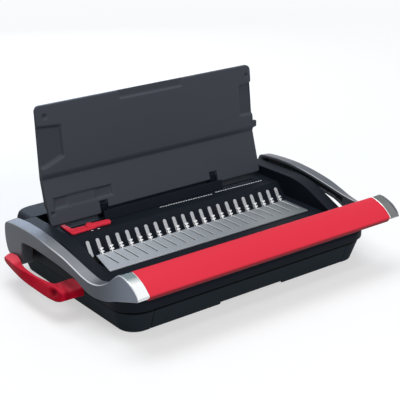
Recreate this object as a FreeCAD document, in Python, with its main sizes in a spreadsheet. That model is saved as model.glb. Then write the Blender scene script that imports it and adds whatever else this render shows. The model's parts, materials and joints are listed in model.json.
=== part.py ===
"""Comb binding machine: a lever that punches a row of slots and opens plastic combs.

Millimetres, +Z up, X across the machine, the operator stands at -Y.
The origin is the middle of the footprint, on the table.
Rest pose: lever down, comb hooks closed, punch pins home, lid open, drawer shut.
"""
import FreeCAD, Part
import os
import re
import Sketcher

Vector = FreeCAD.Vector

SIZES = {
    # Row of comb slots
    "pitch": 14.2875,
    "finger_count": 22,
    "finger_width": 5,
    "finger_gauge": 1.5,
    "finger_lean": 32,
    "finger_tip_y": 10,
    "finger_tip_z": 65.1,
    "finger_strip_depth": 16,
    "hook_gap": 0.7,
    "hook_gauge": 1.6,
    "hook_width": 1.6,
    "hook_left": 2.4,
    "hook_right": 2.9,
    "hook_height": 5.6,
    "hook_prong": 1.7,
    "hook_space": 1.5,
    "finger_room": 5,
    # Lower tub and its feet
    "base_width": 357,
    "base_depth": 241,
    "base_corner": 21.5,
    "foot_drop": 1,
    "foot_radius": 9,
    "foot_seat": 2,
    "foot_x": 150,
    "foot_y": 96,
    "seam_z": 32,
    "flare_angle": 19.3,
    "wall": 2.4,
    "floor_gauge": 3.4,
    "part_gap": 0.2,
    # Fits and allowances shared by many pieces
    "snug": 0.02,
    "running_gap": 0.05,
    "seat_gap": 0.1,
    "screw_play": 0.3,
    "lap": 0.5,
    "over": 1,
    # Waste drawer
    "drawer_width": 300,
    "drawer_depth": 196,
    "drawer_height": 24,
    "drawer_wall": 2,
    "drawer_play": 0.5,
    "front_gap": 0.6,
    "tray_lift": 0.3,
    "tray_inset": 1,
    "mouth_depth": 8.4,
    "runner_play": 0.3,
    "runner_gauge": 2,
    "runner_height": 5,
    "runner_start": 20,
    "pull_width": 97,
    "pull_height": 3,
    # Upper housing
    "housing_width": 383,
    "housing_front_y": -133.5,
    "housing_rear_y": 131,
    "housing_corner": 33,
    "joint_y": 94,
    "lip_z": 40,
    "deck_front_y": -125,
    "deck_z": 47.5,
    "step_foot_y": 16,
    "step_top_y": 32,
    "slant_share": 0.6,
    "bench_z": 63,
    "well_width": 344,
    "cheek_front_y": -84,
    "cheek_knee_y": -34,
    "cheek_knee_z": 68.5,
    "cheek_bow": 125,
    "cheek_crown_y": 10,
    "cheek_crown_z": 77,
    "rear_top_z": 75.5,
    "rear_round": 17,
    "boss_size": 5,
    "front_boss_gap": 0.5,
    "front_boss_y": -66,
    "rear_boss_x": 120,
    "rear_boss_y": 108,
    "screw_diameter": 4,
    "screw_head": 7.6,
    "screw_head_height": 2.4,
    "screw_sink": 0.4,
    "screw_bite": 10,
    # Paper throat and its guard
    "throat_y": 59.5,
    "throat_gap": 3,
    "throat_margin": 5,
    "throat_floor_z": 36,
    "guard_width": 190,
    "guard_front_y": 54,
    "guard_lean": 3,
    "guard_top_z": 75,
    "guard_setback": 0.3,
    # Slotted work plate
    "plate_width": 314,
    "plate_front_y": -49.5,
    "plate_rear_y": -2.2,
    "plate_gauge": 2,
    "slot_front_y": -37,
    "slot_play": 0.4,
    # Lever pivot and drive
    "pivot_y": 82,
    "pivot_z": 54,
    "lever_swing": 70,
    "shaft_diameter": 10,
    "shaft_end_gap": 6,
    "bush_wall": 3,
    "bush_proud": 0.8,
    "frame_gauge": 2.5,
    "frame_low_z": 34,
    "frame_front_y": -52,
    "frame_rear_y": 92.5,
    "frame_back_z": 64,
    "frame_high_z": 70.5,
    "frame_crown_y": 20,
    "crank_inner_x": 175.2,
    "crank_gauge": 4.3,
    "crank_hub": 8,
    "crank_pin": 6,
    "crank_half": 5.5,
    "fork_play": 0.5,
    "fork_wall": 4,
    "link_gauge": 3,
    "link_play": 0.6,
    "punch_throw": 10.5,
    "rake_throw": 20,
    # Rake that carries the hooks
    "rake_front_y": -12,
    "rake_depth": 8,
    "rake_low_z": 38.5,
    "rake_height": 6,
    "lug_length": 8,
    "lug_play": 0.3,
    "lug_inset": 1,
    # Punch
    "punch_bar_y": 33,
    "punch_bar_depth": 9,
    "punch_z": 42,
    "punch_bar_height": 8,
    "pin_width": 8,
    "pin_height": 3,
    "pin_play": 0.1,
    "pin_tip_y": 66.5,
    "guide_gauge": 8,
    "die_gauge": 5.2,
    "die_side": 7,
    "die_low_z": 34,
    # Lever arms
    "arm_gap": 5,
    "arm_width": 15.5,
    "arm_taper_y": 6,
    "arm_elbow_width": 12.5,
    "arm_elbow_y": -80,
    "arm_elbow_bow": 126,
    "arm_end_y": -128,
    "arm_end_gauge": 1.2,
    "arm_boss": 19,
    "arm_back_z": 70,
    "arm_shoulder_y": 89,
    "arm_shoulder_z": 80,
    "arm_crown_bow": 390,
    "arm_slope_y": -34,
    "arm_slope_z": 76,
    "arm_waist_y": -78,
    "arm_waist_z": 65.4,
    "arm_dip_y": -99,
    "arm_dip_z": 64.5,
    "arm_crook_y": -115,
    "arm_crook_z": 71.5,
    "arm_heel_y": -124,
    "arm_notch": 14.5,
    "arm_root_y": 51,
    "arm_root_z": 63.4,
    "arm_belly_y": -53,
    "arm_belly_z": 58.7,
    "arm_belly_bow": 457,
    "arm_chin_y": -79.5,
    "arm_chin_z": 49.3,
    "arm_chin_bow": 78,
    "arm_jaw_y": -110,
    "arm_jaw_z": 47.3,
    "arm_skin": 3,
    "spigot_wall": 2.5,
    "spigot_length": 11,
    "bar_inset": 2.5,
    "bar_gauge": 4,
    "bar_hub": 14,
    "bar_play": 0.3,
    "ring_gauge": 1.2,
    "ring_wall": 3,
    # Grip
    "grip_lap": 1.9,
    "collar_width": 14.9,
    "grip_back_y": -135,
    "grip_back_z": 88.6,
    "grip_crown_bow": 52,
    "grip_nose_y": -170.5,
    "grip_nose_z": 71.3,
    "grip_lip_y": -166.5,
    "grip_lip_z": 66.8,
    "grip_keel_y": -139,
    "grip_keel_z": 62,
    "grip_heel_y": -129,
    "grip_heel_z": 70,
    "grip_skin": 3,
    "core_y": -145,
    "core_z": 73.5,
    "core_diameter": 14,
    "core_wall": 1.5,
    # Lid
    "lid_width": 336,
    "lid_foot_y": 63.5,
    "lid_foot_z": 70,
    "lid_crease_y": 80,
    "lid_crease_z": 126,
    "lid_step": 1.6,
    "lid_step_rise": 2,
    "lid_top_y": 89.3,
    "lid_top_z": 217,
    "lid_skin": 2.6,
    "lid_edge": 4,
    "lid_rim": 1,
    "lid_knee_y": 87,
    "rail_top_y": 77.5,
    "rail_top_z": 90,
    "rail_tail_y": 76,
    "rail_tail_z": 77,
    "rail_foot_y": 73.5,
    "lid_side_wall": 2.4,
    "lid_round": 7,
    "tongue_inner_x": 94,
    "notch_inner_x": 82,
    "notch_top_z": 85,
    "lid_middle_z": 75.6,
    "hinge_y": 72,
    "hinge_z": 80,
    "hinge_pin": 5,
    "hinge_pin_grip": 6,
    "hinge_eye": 4.2,
    "hinge_gap": 1.2,
    "lid_tab_y": 79.6,
    "lid_tab_gauge": 1.5,
    "lid_tab_reach": 5.5,
    "lid_tab_low_z": 130,
    "lid_tab_high_z": 140,
    "pocket_depth": 1.6,
    "pocket_width": 30,
    "pocket_edge": 3,
    "pocket_low_z": 146,
    "pocket_high_z": 192,
    "scoop_width": 100,
    "scoop_drop": 11,
    "scoop_depth": 1.5,
    # Edge guide
    "guide_left_x": -150.5,
    "guide_right_x": -92,
    "guide_front_y": 42,
    "guide_bar": 7,
    "guide_leg_y": 71,
    "guide_top": 2.6,
    "guide_knob": 26,
    "guide_knob_top": 7,
    "guide_stem": 2.6,
    "guide_slot_play": 0.2,
    "guide_lift": 0.2,
    "guide_foot_gauge": 1.8,
    "guide_foot_inset": 10,
    "guide_foot": 40,
    "guide_travel_out": 5,
    "guide_travel_in": 14,
    # Carry handle
    "handle_wall_gap": 0.2,
    "handle_outer_x": 228.4,
    "handle_inner_x": 217,
    "handle_low_z": 27,
    "handle_high_z": 40,
    "handle_front_y": -54,
    "handle_front_leg": 33,
    "handle_rear_y": 94,
    "handle_rear_leg": 25,
    "handle_rear_high_z": 34,
    "handle_front_corner": 16,
    "handle_rear_corner": 18,
    "handle_crook": 6,
    "handle_round": 4,
    "handle_screw_inset": 16,
    "handle_screw_z": 36,
    "handle_bore_depth": 9,
    "handle_boss_gap": 2,
    "handle_hook_inset": 4,
}

DERIVED = {
    "half_swing": "lever_swing / 2",
    "hook_count": "finger_count - 1",
    "first_finger_x": "-pitch * (finger_count - 1) / 2",
    "first_slot_x": "first_finger_x + pitch / 2",
    "first_hook_x": "first_finger_x + pitch",
    "throat_width": "pitch * (hook_count - 1) + pin_width + 2 * throat_margin",
    "die_width": "throat_width + 2 * die_side",
    "front_boss_x": "drawer_width / 2 + boss_size + front_boss_gap",
    "half_base": "base_width / 2",
    "half_depth": "base_depth / 2",
    "half_housing": "housing_width / 2",
    "half_well": "well_width / 2",
    "arm_inner_x": "half_housing + arm_gap",
    "arm_outer_x": "arm_inner_x + arm_width",
    "arm_elbow_x": "arm_inner_x + arm_elbow_width",
    "grip_half": "arm_inner_x + grip_lap",
    "red_half": "grip_half - collar_width",
    "shaft_end_x": "arm_outer_x - shaft_end_gap",
    "flare_slope": "tan(flare_angle * 1deg)",
    "seam_spread": "(seam_z - foot_drop) * flare_slope",
    "floor_z": "foot_drop + floor_gauge",
    "deck_under_z": "deck_z - wall",
    "bench_under_z": "bench_z - wall",
    "housing_low_z": "seam_z + part_gap",
    "cavity_x": "half_housing - wall",
    "cheek_cavity_x": "half_well + wall",
    "plate_top_z": "deck_z + plate_gauge",
    "hook_top_z": "plate_top_z + hook_height",
    "die_high_z": "bench_under_z - seat_gap",
    "screw_seat_z": "foot_drop + screw_sink + screw_head_height",
    "strip_high_z": "deck_under_z - seat_gap",
    "strip_low_z": "strip_high_z - finger_gauge",
    "finger_length": "(finger_tip_z - strip_low_z) / cos(finger_lean * 1deg)",
    "finger_root_y": "finger_tip_y - finger_length * sin(finger_lean * 1deg)",
    "finger_slope": "tan(finger_lean * 1deg)",
    "hook_bend_z": "strip_high_z + hook_gap",
    "shaft_radius": "shaft_diameter / 2",
    "bush_radius": "shaft_radius + bush_wall",
    "frame_outer_x": "cavity_x - seat_gap",
    "frame_inner_x": "frame_outer_x - frame_gauge",
    "crank_outer_x": "crank_inner_x + crank_gauge",
    "pin_radius": "crank_pin / 2",
    "punch_link_out": "crank_inner_x - link_play",
    "punch_link_in": "punch_link_out - link_gauge",
    "rake_link_in": "crank_outer_x + link_play",
    "rake_link_out": "rake_link_in + link_gauge",
    "punch_pin_y": "pivot_y + punch_throw * sin(half_swing * 1deg)",
    "punch_pin_z": "pivot_z - punch_throw * cos(half_swing * 1deg)",
    "rake_pin_y": "pivot_y + rake_throw * sin(half_swing * 1deg)",
    "rake_pin_z": "pivot_z - rake_throw * cos(half_swing * 1deg)",
    "rake_travel": "2 * rake_throw * sin(half_swing * 1deg)",
    "throat_rear_y": "throat_y + throat_gap",
    "rake_high_z": "rake_low_z + rake_height",
    "rake_rear_y": "rake_front_y + rake_depth",
    "arm_plate_x": "grip_half + seat_gap",
    "arm_end_x": "arm_plate_x + arm_end_gauge",
    "arm_fall": "(arm_belly_z - arm_chin_z) / (arm_belly_y - arm_chin_y)",
    "arm_rise": "(arm_slope_z - arm_waist_z) / (arm_slope_y - arm_waist_y)",
    "bar_in": "arm_inner_x + bar_inset",
    "bar_out": "bar_in + bar_gauge",
    "spigot_radius": "core_diameter / 2 + spigot_wall",
    "lid_half": "lid_width / 2",
    "lid_back_y": "lid_top_y + lid_edge",
    "lid_step_y": "lid_crease_y - lid_step",
    "lid_step_z": "lid_crease_z + lid_step_rise",
    "lid_slope": "(lid_crease_y - lid_foot_y) / (lid_crease_z - lid_foot_z)",
    "lid_upper_slope": "(lid_top_y - lid_step_y) / (lid_top_z - lid_step_z)",
    "handle_root_x": "half_housing + handle_wall_gap",
    "handle_seat_x": "handle_bore_depth - handle_outer_x",
    "hook_front_y": "handle_rear_y - handle_rear_leg + handle_hook_inset",
    "hook_rear_y": "handle_rear_y - handle_hook_inset",
    "hook_low_z": "housing_low_z + seat_gap",
    "guide_foot_left": "guide_left_x + guide_foot_inset",
    "guide_foot_right": "guide_foot_left + guide_foot",
    "guide_middle_y": "guide_front_y + guide_bar / 2",
}

doc = FreeCAD.newDocument("comb_binding_machine")
sheet = doc.addObject("Spreadsheet::Sheet", "size")
CELLS = {**{alias: str(value) for alias, value in SIZES.items()},
         **{alias: "=" + formula for alias, formula in DERIVED.items()}}
for line, (alias, text) in enumerate(CELLS.items(), start=1):
    sheet.set(f"A{line}", alias)
    sheet.set(f"B{line}", text)
    sheet.setAlias(f"B{line}", alias)
doc.recompute()

NODES = {}


def bound(text):
    """The expression with every size pointed at its cell in the sheet."""
    return re.sub(r"[a-z_]+", lambda word: "size." + word[0] if word[0] in CELLS else word[0], text)


def number(text):
    """The present value of an expression written in sizes."""
    return float(sheet.evalExpression(text))


def origin_feature(body, role):
    """One of the body's own origin planes or axes."""
    return next(item for item in body.Origin.OriginFeatures if item.Role == role)


def bowed(start, stop, radius):
    """Arc from start to stop, turning left for a positive radius and right for a negative one."""
    chord = stop - start
    sag = abs(radius) - max(radius ** 2 - chord.Length ** 2 / 4, 0) ** 0.5
    side = Vector(chord.y, -chord.x, 0).normalize()
    middle = (start + stop) / 2 + side * (sag if radius > 0 else -sag)
    return Part.Arc(start, middle, stop)


def sketch_on(body, plane, corners, level):
    """Closed sketch through corners. A third entry bows the run that ends at that corner."""
    sketch = body.newObject("Sketcher::SketchObject", "Outline")
    sketch.AttachmentSupport = (origin_feature(body, plane), [""])
    sketch.MapMode = "FlatFace"
    sketch.setExpression("AttachmentOffset.Base.z", bound(level))
    points = [Vector(number(corner[0]), number(corner[1]), 0) for corner in corners]
    ends = []
    for index, corner in enumerate(corners):
        start, stop = points[index - 1], points[index]
        curved = len(corner) == 3
        run = bowed(start, stop, number(corner[2])) if curved else Part.LineSegment(start, stop)
        sketch.addGeometry(run)
        forward = not curved or number(corner[2]) > 0
        ends.append((1, 2) if forward else (2, 1))
    for index, corner in enumerate(corners):
        after = (index + 1) % len(corners)
        tip = ends[index][1]
        sketch.addConstraint(Sketcher.Constraint("Coincident", index, tip, after, ends[after][0]))
        for kind, text in (("DistanceX", corner[0]), ("DistanceY", corner[1])):
            held = sketch.addConstraint(Sketcher.Constraint(kind, -1, 1, index, tip, number(text)))
            sketch.setExpression(f"Constraints[{held}]", bound(text))
        if len(corner) == 3:
            held = sketch.addConstraint(Sketcher.Constraint("Radius", index, abs(number(corner[2]))))
            sketch.setExpression(f"Constraints[{held}]", bound(f"abs({corner[2]})"))
    return sketch


def pad_on(body, sketch, length):
    """Pad of a sketch along its normal."""
    feature = body.newObject("PartDesign::Pad", "Pad")
    feature.Profile = sketch
    feature.setExpression("Length", bound(length))
    return feature


def slab(label, plane, corners, low, high, taper=None):
    """Body with one padded outline between two levels along X, Y or Z."""
    body = doc.addObject("PartDesign::Body", label)
    level = f"-({high})" if plane == "XZ_Plane" else low
    feature = pad_on(body, sketch_on(body, plane, corners, level), f"({high}) - ({low})")
    if taper:
        feature.setExpression("TaperAngle", bound(taper))
    return body


def pocket_on(body, plane, corners, level, depth):
    """Pocket from a level down along the sketch's reversed normal."""
    feature = body.newObject("PartDesign::Pocket", "Pocket")
    feature.Profile = sketch_on(body, plane, corners, level)
    feature.setExpression("Length", bound(depth))
    return feature


def row_of(body, feature, count):
    """The feature repeated along X at the comb pitch."""
    pattern = body.newObject("PartDesign::LinearPattern", "Row")
    pattern.Originals = [feature]
    pattern.Direction = (origin_feature(body, "X_Axis"), [""])
    pattern.setExpression("Length", bound(f"pitch * ({count} - 1)"))
    pattern.setExpression("Occurrences", bound(count))
    body.Tip = pattern


def rounded_edges(body, radius, chosen):
    """Fillet on the edges of the body's tip that the test picks."""
    doc.recompute()
    base = body.Tip
    names = [f"Edge{index}" for index, edge in enumerate(base.Shape.Edges, start=1) if chosen(edge)]
    feature = body.newObject("PartDesign::Fillet", "Round")
    feature.Base = (base, names)
    feature.setExpression("Radius", bound(radius))
    body.Tip = feature


def rectangle(x, y):
    """Four corners from a low and high pair on each sketch axis."""
    return [(x[0], y[0]), (x[1], y[0]), (x[1], y[1]), (x[0], y[1])]


def rounded_rectangle(half, front, rear, radius):
    """Outline symmetric about X = 0 with four round corners."""
    right, left = f"({half}) - ({radius})", f"-({half}) + ({radius})"
    near, far = f"({front}) + ({radius})", f"({rear}) - ({radius})"
    return [(right, front), (half, near, radius), (half, far), (right, rear, radius),
            (left, rear), (f"-({half})", far, radius), (f"-({half})", near), (left, front, radius)]


def box(label, x, y, z):
    """Box from a low and high pair on each axis."""
    solid = doc.addObject("Part::Box", label)
    for side, axis, (low, high) in (("Length", "x", x), ("Width", "y", y), ("Height", "z", z)):
        solid.setExpression(side, bound(f"({high}) - ({low})"))
        solid.setExpression("Placement.Base." + axis, bound(low))
    return solid


TURNS = {"x": FreeCAD.Rotation(Vector(0, 1, 0), 90), "y": FreeCAD.Rotation(Vector(1, 0, 0), -90),
         "z": FreeCAD.Rotation()}


def rod(label, axis, radius, low, high, at):
    """Cylinder along one axis between two levels, at the other two coordinates in order."""
    solid = doc.addObject("Part::Cylinder", label)
    solid.Placement.Rotation = TURNS[axis]
    solid.setExpression("Radius", bound(radius))
    solid.setExpression("Height", bound(f"({high}) - ({low})"))
    places = iter(at)
    for name in "xyz":
        text = low if name == axis else next(places)
        solid.setExpression("Placement.Base." + name, bound(text))
    return solid


def fuse(label, *solids):
    """Several overlapping solids made one."""
    joined = doc.addObject("Part::MultiFuse", label)
    joined.Shapes = list(solids)
    return joined


def cut(label, base, *tools):
    """Base less every tool."""
    result = doc.addObject("Part::Cut", label)
    result.Base = base
    result.Tool = tools[0] if len(tools) == 1 else fuse(label + "_tools", *tools)
    return result


def common(label, first, second):
    """What two solids share."""
    shared = doc.addObject("Part::MultiCommon", label)
    shared.Shapes = [first, second]
    return shared


def group(label, *solids):
    """Separate solids kept as one node."""
    several = doc.addObject("Part::Compound", label)
    several.Links = list(solids)
    return several


def mirrored(label, source):
    """The same piece on the other side of the centre plane."""
    twin = doc.addObject("Part::Mirroring", label)
    twin.Source = source
    twin.Normal = Vector(1, 0, 0)
    return twin


def keep(solid):
    """Marks a finished piece as a node named by its label."""
    NODES[solid.Label] = solid
    return solid


def both_sides(name, make):
    """Right piece from its maker and its left twin, each a node."""
    right = keep(make("right_" + name))
    keep(mirrored("left_" + name, right))


FOOT_PLACES = [("0", "0"), *((x, y) for x in ("foot_x", "-foot_x") for y in ("foot_y", "-foot_y"))]
SCREW_PLACES = [("front_boss_x", "front_boss_y"), ("-front_boss_x", "front_boss_y"),
                ("rear_boss_x", "rear_boss_y"), ("-rear_boss_x", "rear_boss_y")]
HANDLE_SCREW = ("handle_front_y + handle_screw_inset", "handle_screw_z")
PIVOT = ("pivot_y", "pivot_z")
HINGE = ("hinge_y", "hinge_z")
CORE = ("core_y", "core_z")


def tub():
    """Flared lower tub with a drawer mouth in front, screw posts and foot seats."""
    footprint = rounded_rectangle("half_base", "-half_depth", "half_depth", "base_corner")
    outer = slab("tub_outer", "XY_Plane", footprint, "foot_drop", "seam_z", "flare_angle")
    inset = "(wall - floor_gauge * flare_slope)"
    inside = rounded_rectangle(f"half_base - {inset}", f"-half_depth + {inset}", f"half_depth - {inset}",
                               "base_corner")
    inner = slab("tub_inner", "XY_Plane", inside, "floor_z", "seam_z + over", "flare_angle")
    mouth = box("tub_mouth", ("-drawer_width / 2", "drawer_width / 2"),
                ("-half_depth - seam_spread - over", "-half_depth + mouth_depth"), ("0", "seam_z + over"))
    rail = "(drawer_width / 2 + runner_play)"
    along = ("-half_depth + runner_start", "-half_depth + drawer_depth")
    upright = ("floor_z - lap", "floor_z + runner_height")
    runners = [box("drawer_runner_right", (rail, f"{rail} + runner_gauge"), along, upright),
               box("drawer_runner_left", (f"-{rail} - runner_gauge", f"-{rail}"), along, upright)]
    cuts = [rod(f"foot_seat_{index}", "z", "foot_radius + snug", "0", "foot_drop + foot_seat", place)
            for index, place in enumerate(FOOT_PLACES)]
    posts = []
    for index, place in enumerate(SCREW_PLACES):
        posts.append(rod(f"tub_post_{index}", "z", "boss_size", "floor_z - lap", "seam_z", place))
        cuts.append(rod(f"tub_bore_{index}", "z", "screw_diameter / 2 + screw_play", "0", "seam_z + over",
                        place))
        cuts.append(rod(f"tub_sink_{index}", "z", "screw_head / 2 + screw_play", "0", "screw_seat_z", place))
    shell = cut("tub_shell", outer, inner, mouth)
    return cut("base_tub", fuse("tub_body", shell, *posts, *runners), *cuts)


def feet():
    """Rubber feet pressed into the tub's floor, one in the middle and one near each corner."""
    pads = [rod(f"foot_{index}", "z", "foot_radius", "0", "foot_drop + foot_seat", place)
            for index, place in enumerate(FOOT_PLACES)]
    return group("rubber_feet", *pads)


def housing_screws():
    """Screws from below that hold the housing and rear cover to the tub."""
    screws = []
    for index, place in enumerate(SCREW_PLACES):
        head = rod(f"screw_head_{index}", "z", "screw_head / 2", "screw_seat_z - screw_head_height",
                   "screw_seat_z", place)
        shank = rod(f"screw_shank_{index}", "z", "screw_diameter / 2", "screw_seat_z - lap",
                    "seam_z + screw_bite", place)
        screws.append(fuse(f"screw_{index}", head, shank))
    return group("housing_screws", *screws)


def tub_front(height, depth):
    """Point on the tub's sloping front at a height, set back by a depth."""
    return (f"-half_depth - ({height} - foot_drop) * flare_slope + {depth}", height)


def drawer():
    """Waste drawer whose sloping front fills the tub's mouth."""
    half = "(drawer_width / 2 - drawer_play)"
    low, high = "(foot_drop + front_gap)", "(seam_z - front_gap)"
    front = slab("drawer_front", "YZ_Plane",
                 [tub_front(low, "0"), tub_front(low, "wall"), tub_front(high, "wall"), tub_front(high, "0")],
                 f"-{half}", half)
    back = "(drawer_depth - half_depth)"
    floor = "(floor_z + tray_lift)"
    rim, base = f"({floor} + drawer_height)", f"({floor} + drawer_wall)"
    tray_half = f"({half} - tray_inset)"
    tray = slab("drawer_tray", "YZ_Plane",
                [tub_front(floor, "wall - lap"), (back, floor), (back, rim), tub_front(rim, "wall - lap")],
                f"-{tray_half}", tray_half)
    hollow = slab("drawer_hollow", "YZ_Plane",
                  [tub_front(base, "wall"), (f"{back} - drawer_wall", base),
                   (f"{back} - drawer_wall", "seam_z + over"), tub_front("(seam_z + over)", "wall")],
                  f"-{tray_half} + drawer_wall", f"{tray_half} - drawer_wall")
    pull = box("drawer_pull", ("-pull_width / 2", "pull_width / 2"),
               ("-half_depth - seam_spread", "-half_depth + wall + over"), ("0", f"{low} + pull_height"))
    return cut("waste_drawer", fuse("drawer_body", front, tray), hollow, pull)


def plan(label, inset, low, high):
    """Rounded plan of the upper shells, drawn in by an inset."""
    return slab(label, "XY_Plane",
                rounded_rectangle(f"half_housing - {inset}", f"housing_front_y + {inset}",
                                  f"housing_rear_y - {inset}", f"housing_corner - {inset}"), low, high)


def deck_line(drop, back):
    """Front lip, deck, step and bench as far as a back level, lowered by a drop."""
    lean = f"{drop} * slant_share"
    return [(f"housing_front_y + {drop}", "housing_low_z - over"), (back, "housing_low_z - over"),
            (back, f"bench_z - {drop}"), (f"step_top_y + {lean}", f"bench_z - {drop}"),
            (f"step_foot_y + {lean}", f"deck_z - {drop}"), (f"deck_front_y + {lean}", f"deck_z - {drop}"),
            (f"housing_front_y + {drop}", f"lip_z - {lean}")]


def cheek_line(drop, back):
    """Outline under the cheek's curved top as far as a back level, lowered by a drop."""
    return [("cheek_front_y", "housing_low_z - over"), (back, "housing_low_z - over"),
            (back, f"rear_top_z - {drop}"), ("cheek_crown_y", f"cheek_crown_z - {drop}"),
            ("cheek_knee_y", f"cheek_knee_z - {drop}", "cheek_bow"), ("cheek_front_y", f"deck_z - {drop}")]


def housing_solid():
    """Outside of the upper shell: deck, bench behind it and a raised cheek at each side."""
    back = "joint_y - part_gap"
    deck = slab("housing_deck", "YZ_Plane", deck_line("0", back), "-half_housing", "half_housing")
    cheeks = slab("housing_cheeks", "YZ_Plane", cheek_line("0", back), "-half_housing", "half_housing")
    well = box("housing_well", ("-half_well", "half_well"), ("housing_front_y", "joint_y"),
               ("bench_z", "cheek_crown_z + over"))
    slope = slab("housing_slope", "YZ_Plane",
                 [("cheek_front_y", "deck_z"), ("step_foot_y", "deck_z"), ("step_top_y", "bench_z"),
                  ("step_top_y", "bench_z + over"), ("cheek_front_y", "bench_z + over")],
                 "-half_well", "half_well")
    raised = cut("housing_raised", fuse("housing_block", deck, cheeks), well, slope)
    return common("housing_solid", raised, plan("housing_plan", "0", "housing_low_z", "cheek_crown_z + over"))


def housing_openings():
    """Ways through the deck for the hooks, the sheets, the edge guide and the shaft."""
    stem = "(guide_stem / 2 + guide_slot_play)"
    through_deck = ("deck_under_z - over", "deck_z + over")
    through_bench = ("bench_under_z - over", "bench_z + over")
    rake_way = ("first_finger_x - finger_width / 2 - over", "finger_width / 2 - first_finger_x + over")
    guide_way = ("guide_foot_left - guide_travel_out - over", "guide_foot_right + guide_travel_in + over")
    return [box("rake_opening", rake_way, ("slot_front_y - over", "finger_root_y + finger_room"), through_deck),
            box("throat_opening", ("-throat_width / 2", "throat_width / 2"), ("throat_y", "throat_rear_y"),
                through_bench),
            box("guide_opening", guide_way, (f"guide_middle_y - {stem}", f"guide_middle_y + {stem}"),
                through_bench),
            rod("shaft_opening", "x", "bush_radius + seat_gap", "-half_housing - over", "half_housing + over",
                PIVOT)]


def housing():
    """Upper shell, hollow underneath, with two screw posts at the front."""
    back = "joint_y + over"
    under = common("housing_under",
                   slab("housing_under_line", "YZ_Plane", deck_line("wall", back), "-cavity_x", "cavity_x"),
                   plan("housing_under_plan", "wall", "housing_low_z - over", "rear_top_z"))
    hollows = [slab(f"cheek_hollow_{side}", "YZ_Plane", cheek_line("wall", back), low, high)
               for side, low, high in (("right", "cheek_cavity_x", "cavity_x"),
                                       ("left", "-cavity_x", "-cheek_cavity_x"))]
    shell = cut("housing_shell", housing_solid(), under, *hollows, *housing_openings())
    posts, bores = screw_posts("housing", SCREW_PLACES[:2], "deck_under_z + lap")
    through = ("-half_housing - over", "over - cavity_x")
    fixing = rod("handle_fixing", "x", "screw_diameter / 2 + snug", *through, HANDLE_SCREW)
    catch = box("handle_catch", through, ("hook_front_y - seat_gap", "hook_rear_y + seat_gap"),
                ("hook_low_z - seat_gap", "handle_rear_high_z + seat_gap"))
    return cut("upper_housing", fuse("housing_posts", shell, *posts), *bores, fixing, catch)


def screw_posts(name, places, top):
    """Posts under a shell and the blind bores for the screws from below."""
    posts, bores = [], []
    for index, place in enumerate(places):
        posts.append(rod(f"{name}_post_{index}", "z", "boss_size", "housing_low_z", top, place))
        bores.append(rod(f"{name}_bore_{index}", "z", "screw_diameter / 2 + snug", "housing_low_z - over",
                         "seam_z + screw_bite + over", place))
    return posts, bores


def rear_section(label, inset, front, back):
    """Block with round upper sides, drawn in by an inset, between two Y levels."""
    half, top, turn = f"(half_housing - {inset})", f"(rear_top_z - {inset})", f"(rear_round - {inset})"
    low = f"housing_low_z - {inset}"
    return slab(label, "XZ_Plane",
                [(f"-{half}", low), (half, low), (half, f"{top} - {turn}"), (f"{half} - {turn}", top, turn),
                 (f"-{half} + {turn}", top), (f"-{half}", f"{top} - {turn}", turn)], front, back)


def rear_cover():
    """Shell behind the lid that closes the back of the machine."""
    outer = common("rear_outer", rear_section("rear_block", "0", "joint_y", "housing_rear_y"),
                   plan("rear_plan", "0", "housing_low_z", "rear_top_z + over"))
    hollow = rear_section("rear_hollow", "wall", "joint_y + wall", "housing_rear_y - wall")
    inner = common("rear_inner", hollow, plan("rear_inner_plan", "wall", "housing_low_z - wall", "rear_top_z"))
    doorway = box("rear_doorway", ("-cavity_x", "cavity_x"), ("joint_y - over", "joint_y + wall + over"),
                  ("housing_low_z - over", "bench_under_z"))
    posts, bores = screw_posts("rear", SCREW_PLACES[2:], "rear_top_z - wall + lap")
    return cut("rear_cover", fuse("rear_posts", cut("rear_shell", outer, inner, doorway), *posts), *bores)


def work_plate():
    """Bright slotted plate on the deck, one open slot for each hook."""
    body = slab("work_plate", "XY_Plane",
                rectangle(("-plate_width / 2", "plate_width / 2"), ("plate_front_y", "plate_rear_y")),
                "deck_z", "plate_top_z")
    half = "(hook_width / 2 + slot_play)"
    opening = rectangle((f"first_hook_x - {half}", f"first_hook_x + {half}"),
                        ("slot_front_y", "plate_rear_y + over"))
    slot = pocket_on(body, "XY_Plane", opening, "plate_top_z + over", "plate_gauge + 2 * over")
    row_of(body, slot, "hook_count")
    return body


def finger_comb():
    """Strip under the deck with fixed fingers that lean back."""
    half = "(finger_width / 2 - first_finger_x)"
    body = slab("finger_comb", "XY_Plane",
                rectangle((f"-{half}", half), ("finger_root_y", "finger_root_y + finger_strip_depth")),
                "strip_low_z", "strip_high_z")
    left, right = "first_finger_x - finger_width / 2", "first_finger_x + finger_width / 2"
    shoulder = "finger_length - finger_width / 2"
    sketch = sketch_on(body, "XZ_Plane",
                       [(left, "0"), (right, "0"), (right, shoulder),
                        ("first_finger_x", "finger_length", "finger_width / 2"),
                        (left, shoulder, "finger_width / 2")], "-finger_root_y")
    lean = FreeCAD.Rotation(Vector(1, 0, 0), -number("finger_lean"))
    sketch.AttachmentOffset = FreeCAD.Placement(Vector(0, 0, 0), lean)
    sketch.setExpression("AttachmentOffset.Base.y", bound("strip_low_z"))
    sketch.setExpression("AttachmentOffset.Base.z", bound("-finger_root_y"))
    sketch.setExpression("AttachmentOffset.Rotation.Angle", bound("-finger_lean * 1deg"))
    finger = pad_on(body, sketch, "finger_gauge")
    finger.Reversed = True
    row_of(body, finger, "finger_count")
    return body


def hook_faces(level):
    """Y of a hook's front and back face at a level, just in front of the leaning finger."""
    back = f"finger_root_y + ({level} - strip_low_z) * finger_slope - hook_gap"
    return f"{back} - hook_gauge", back


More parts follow.
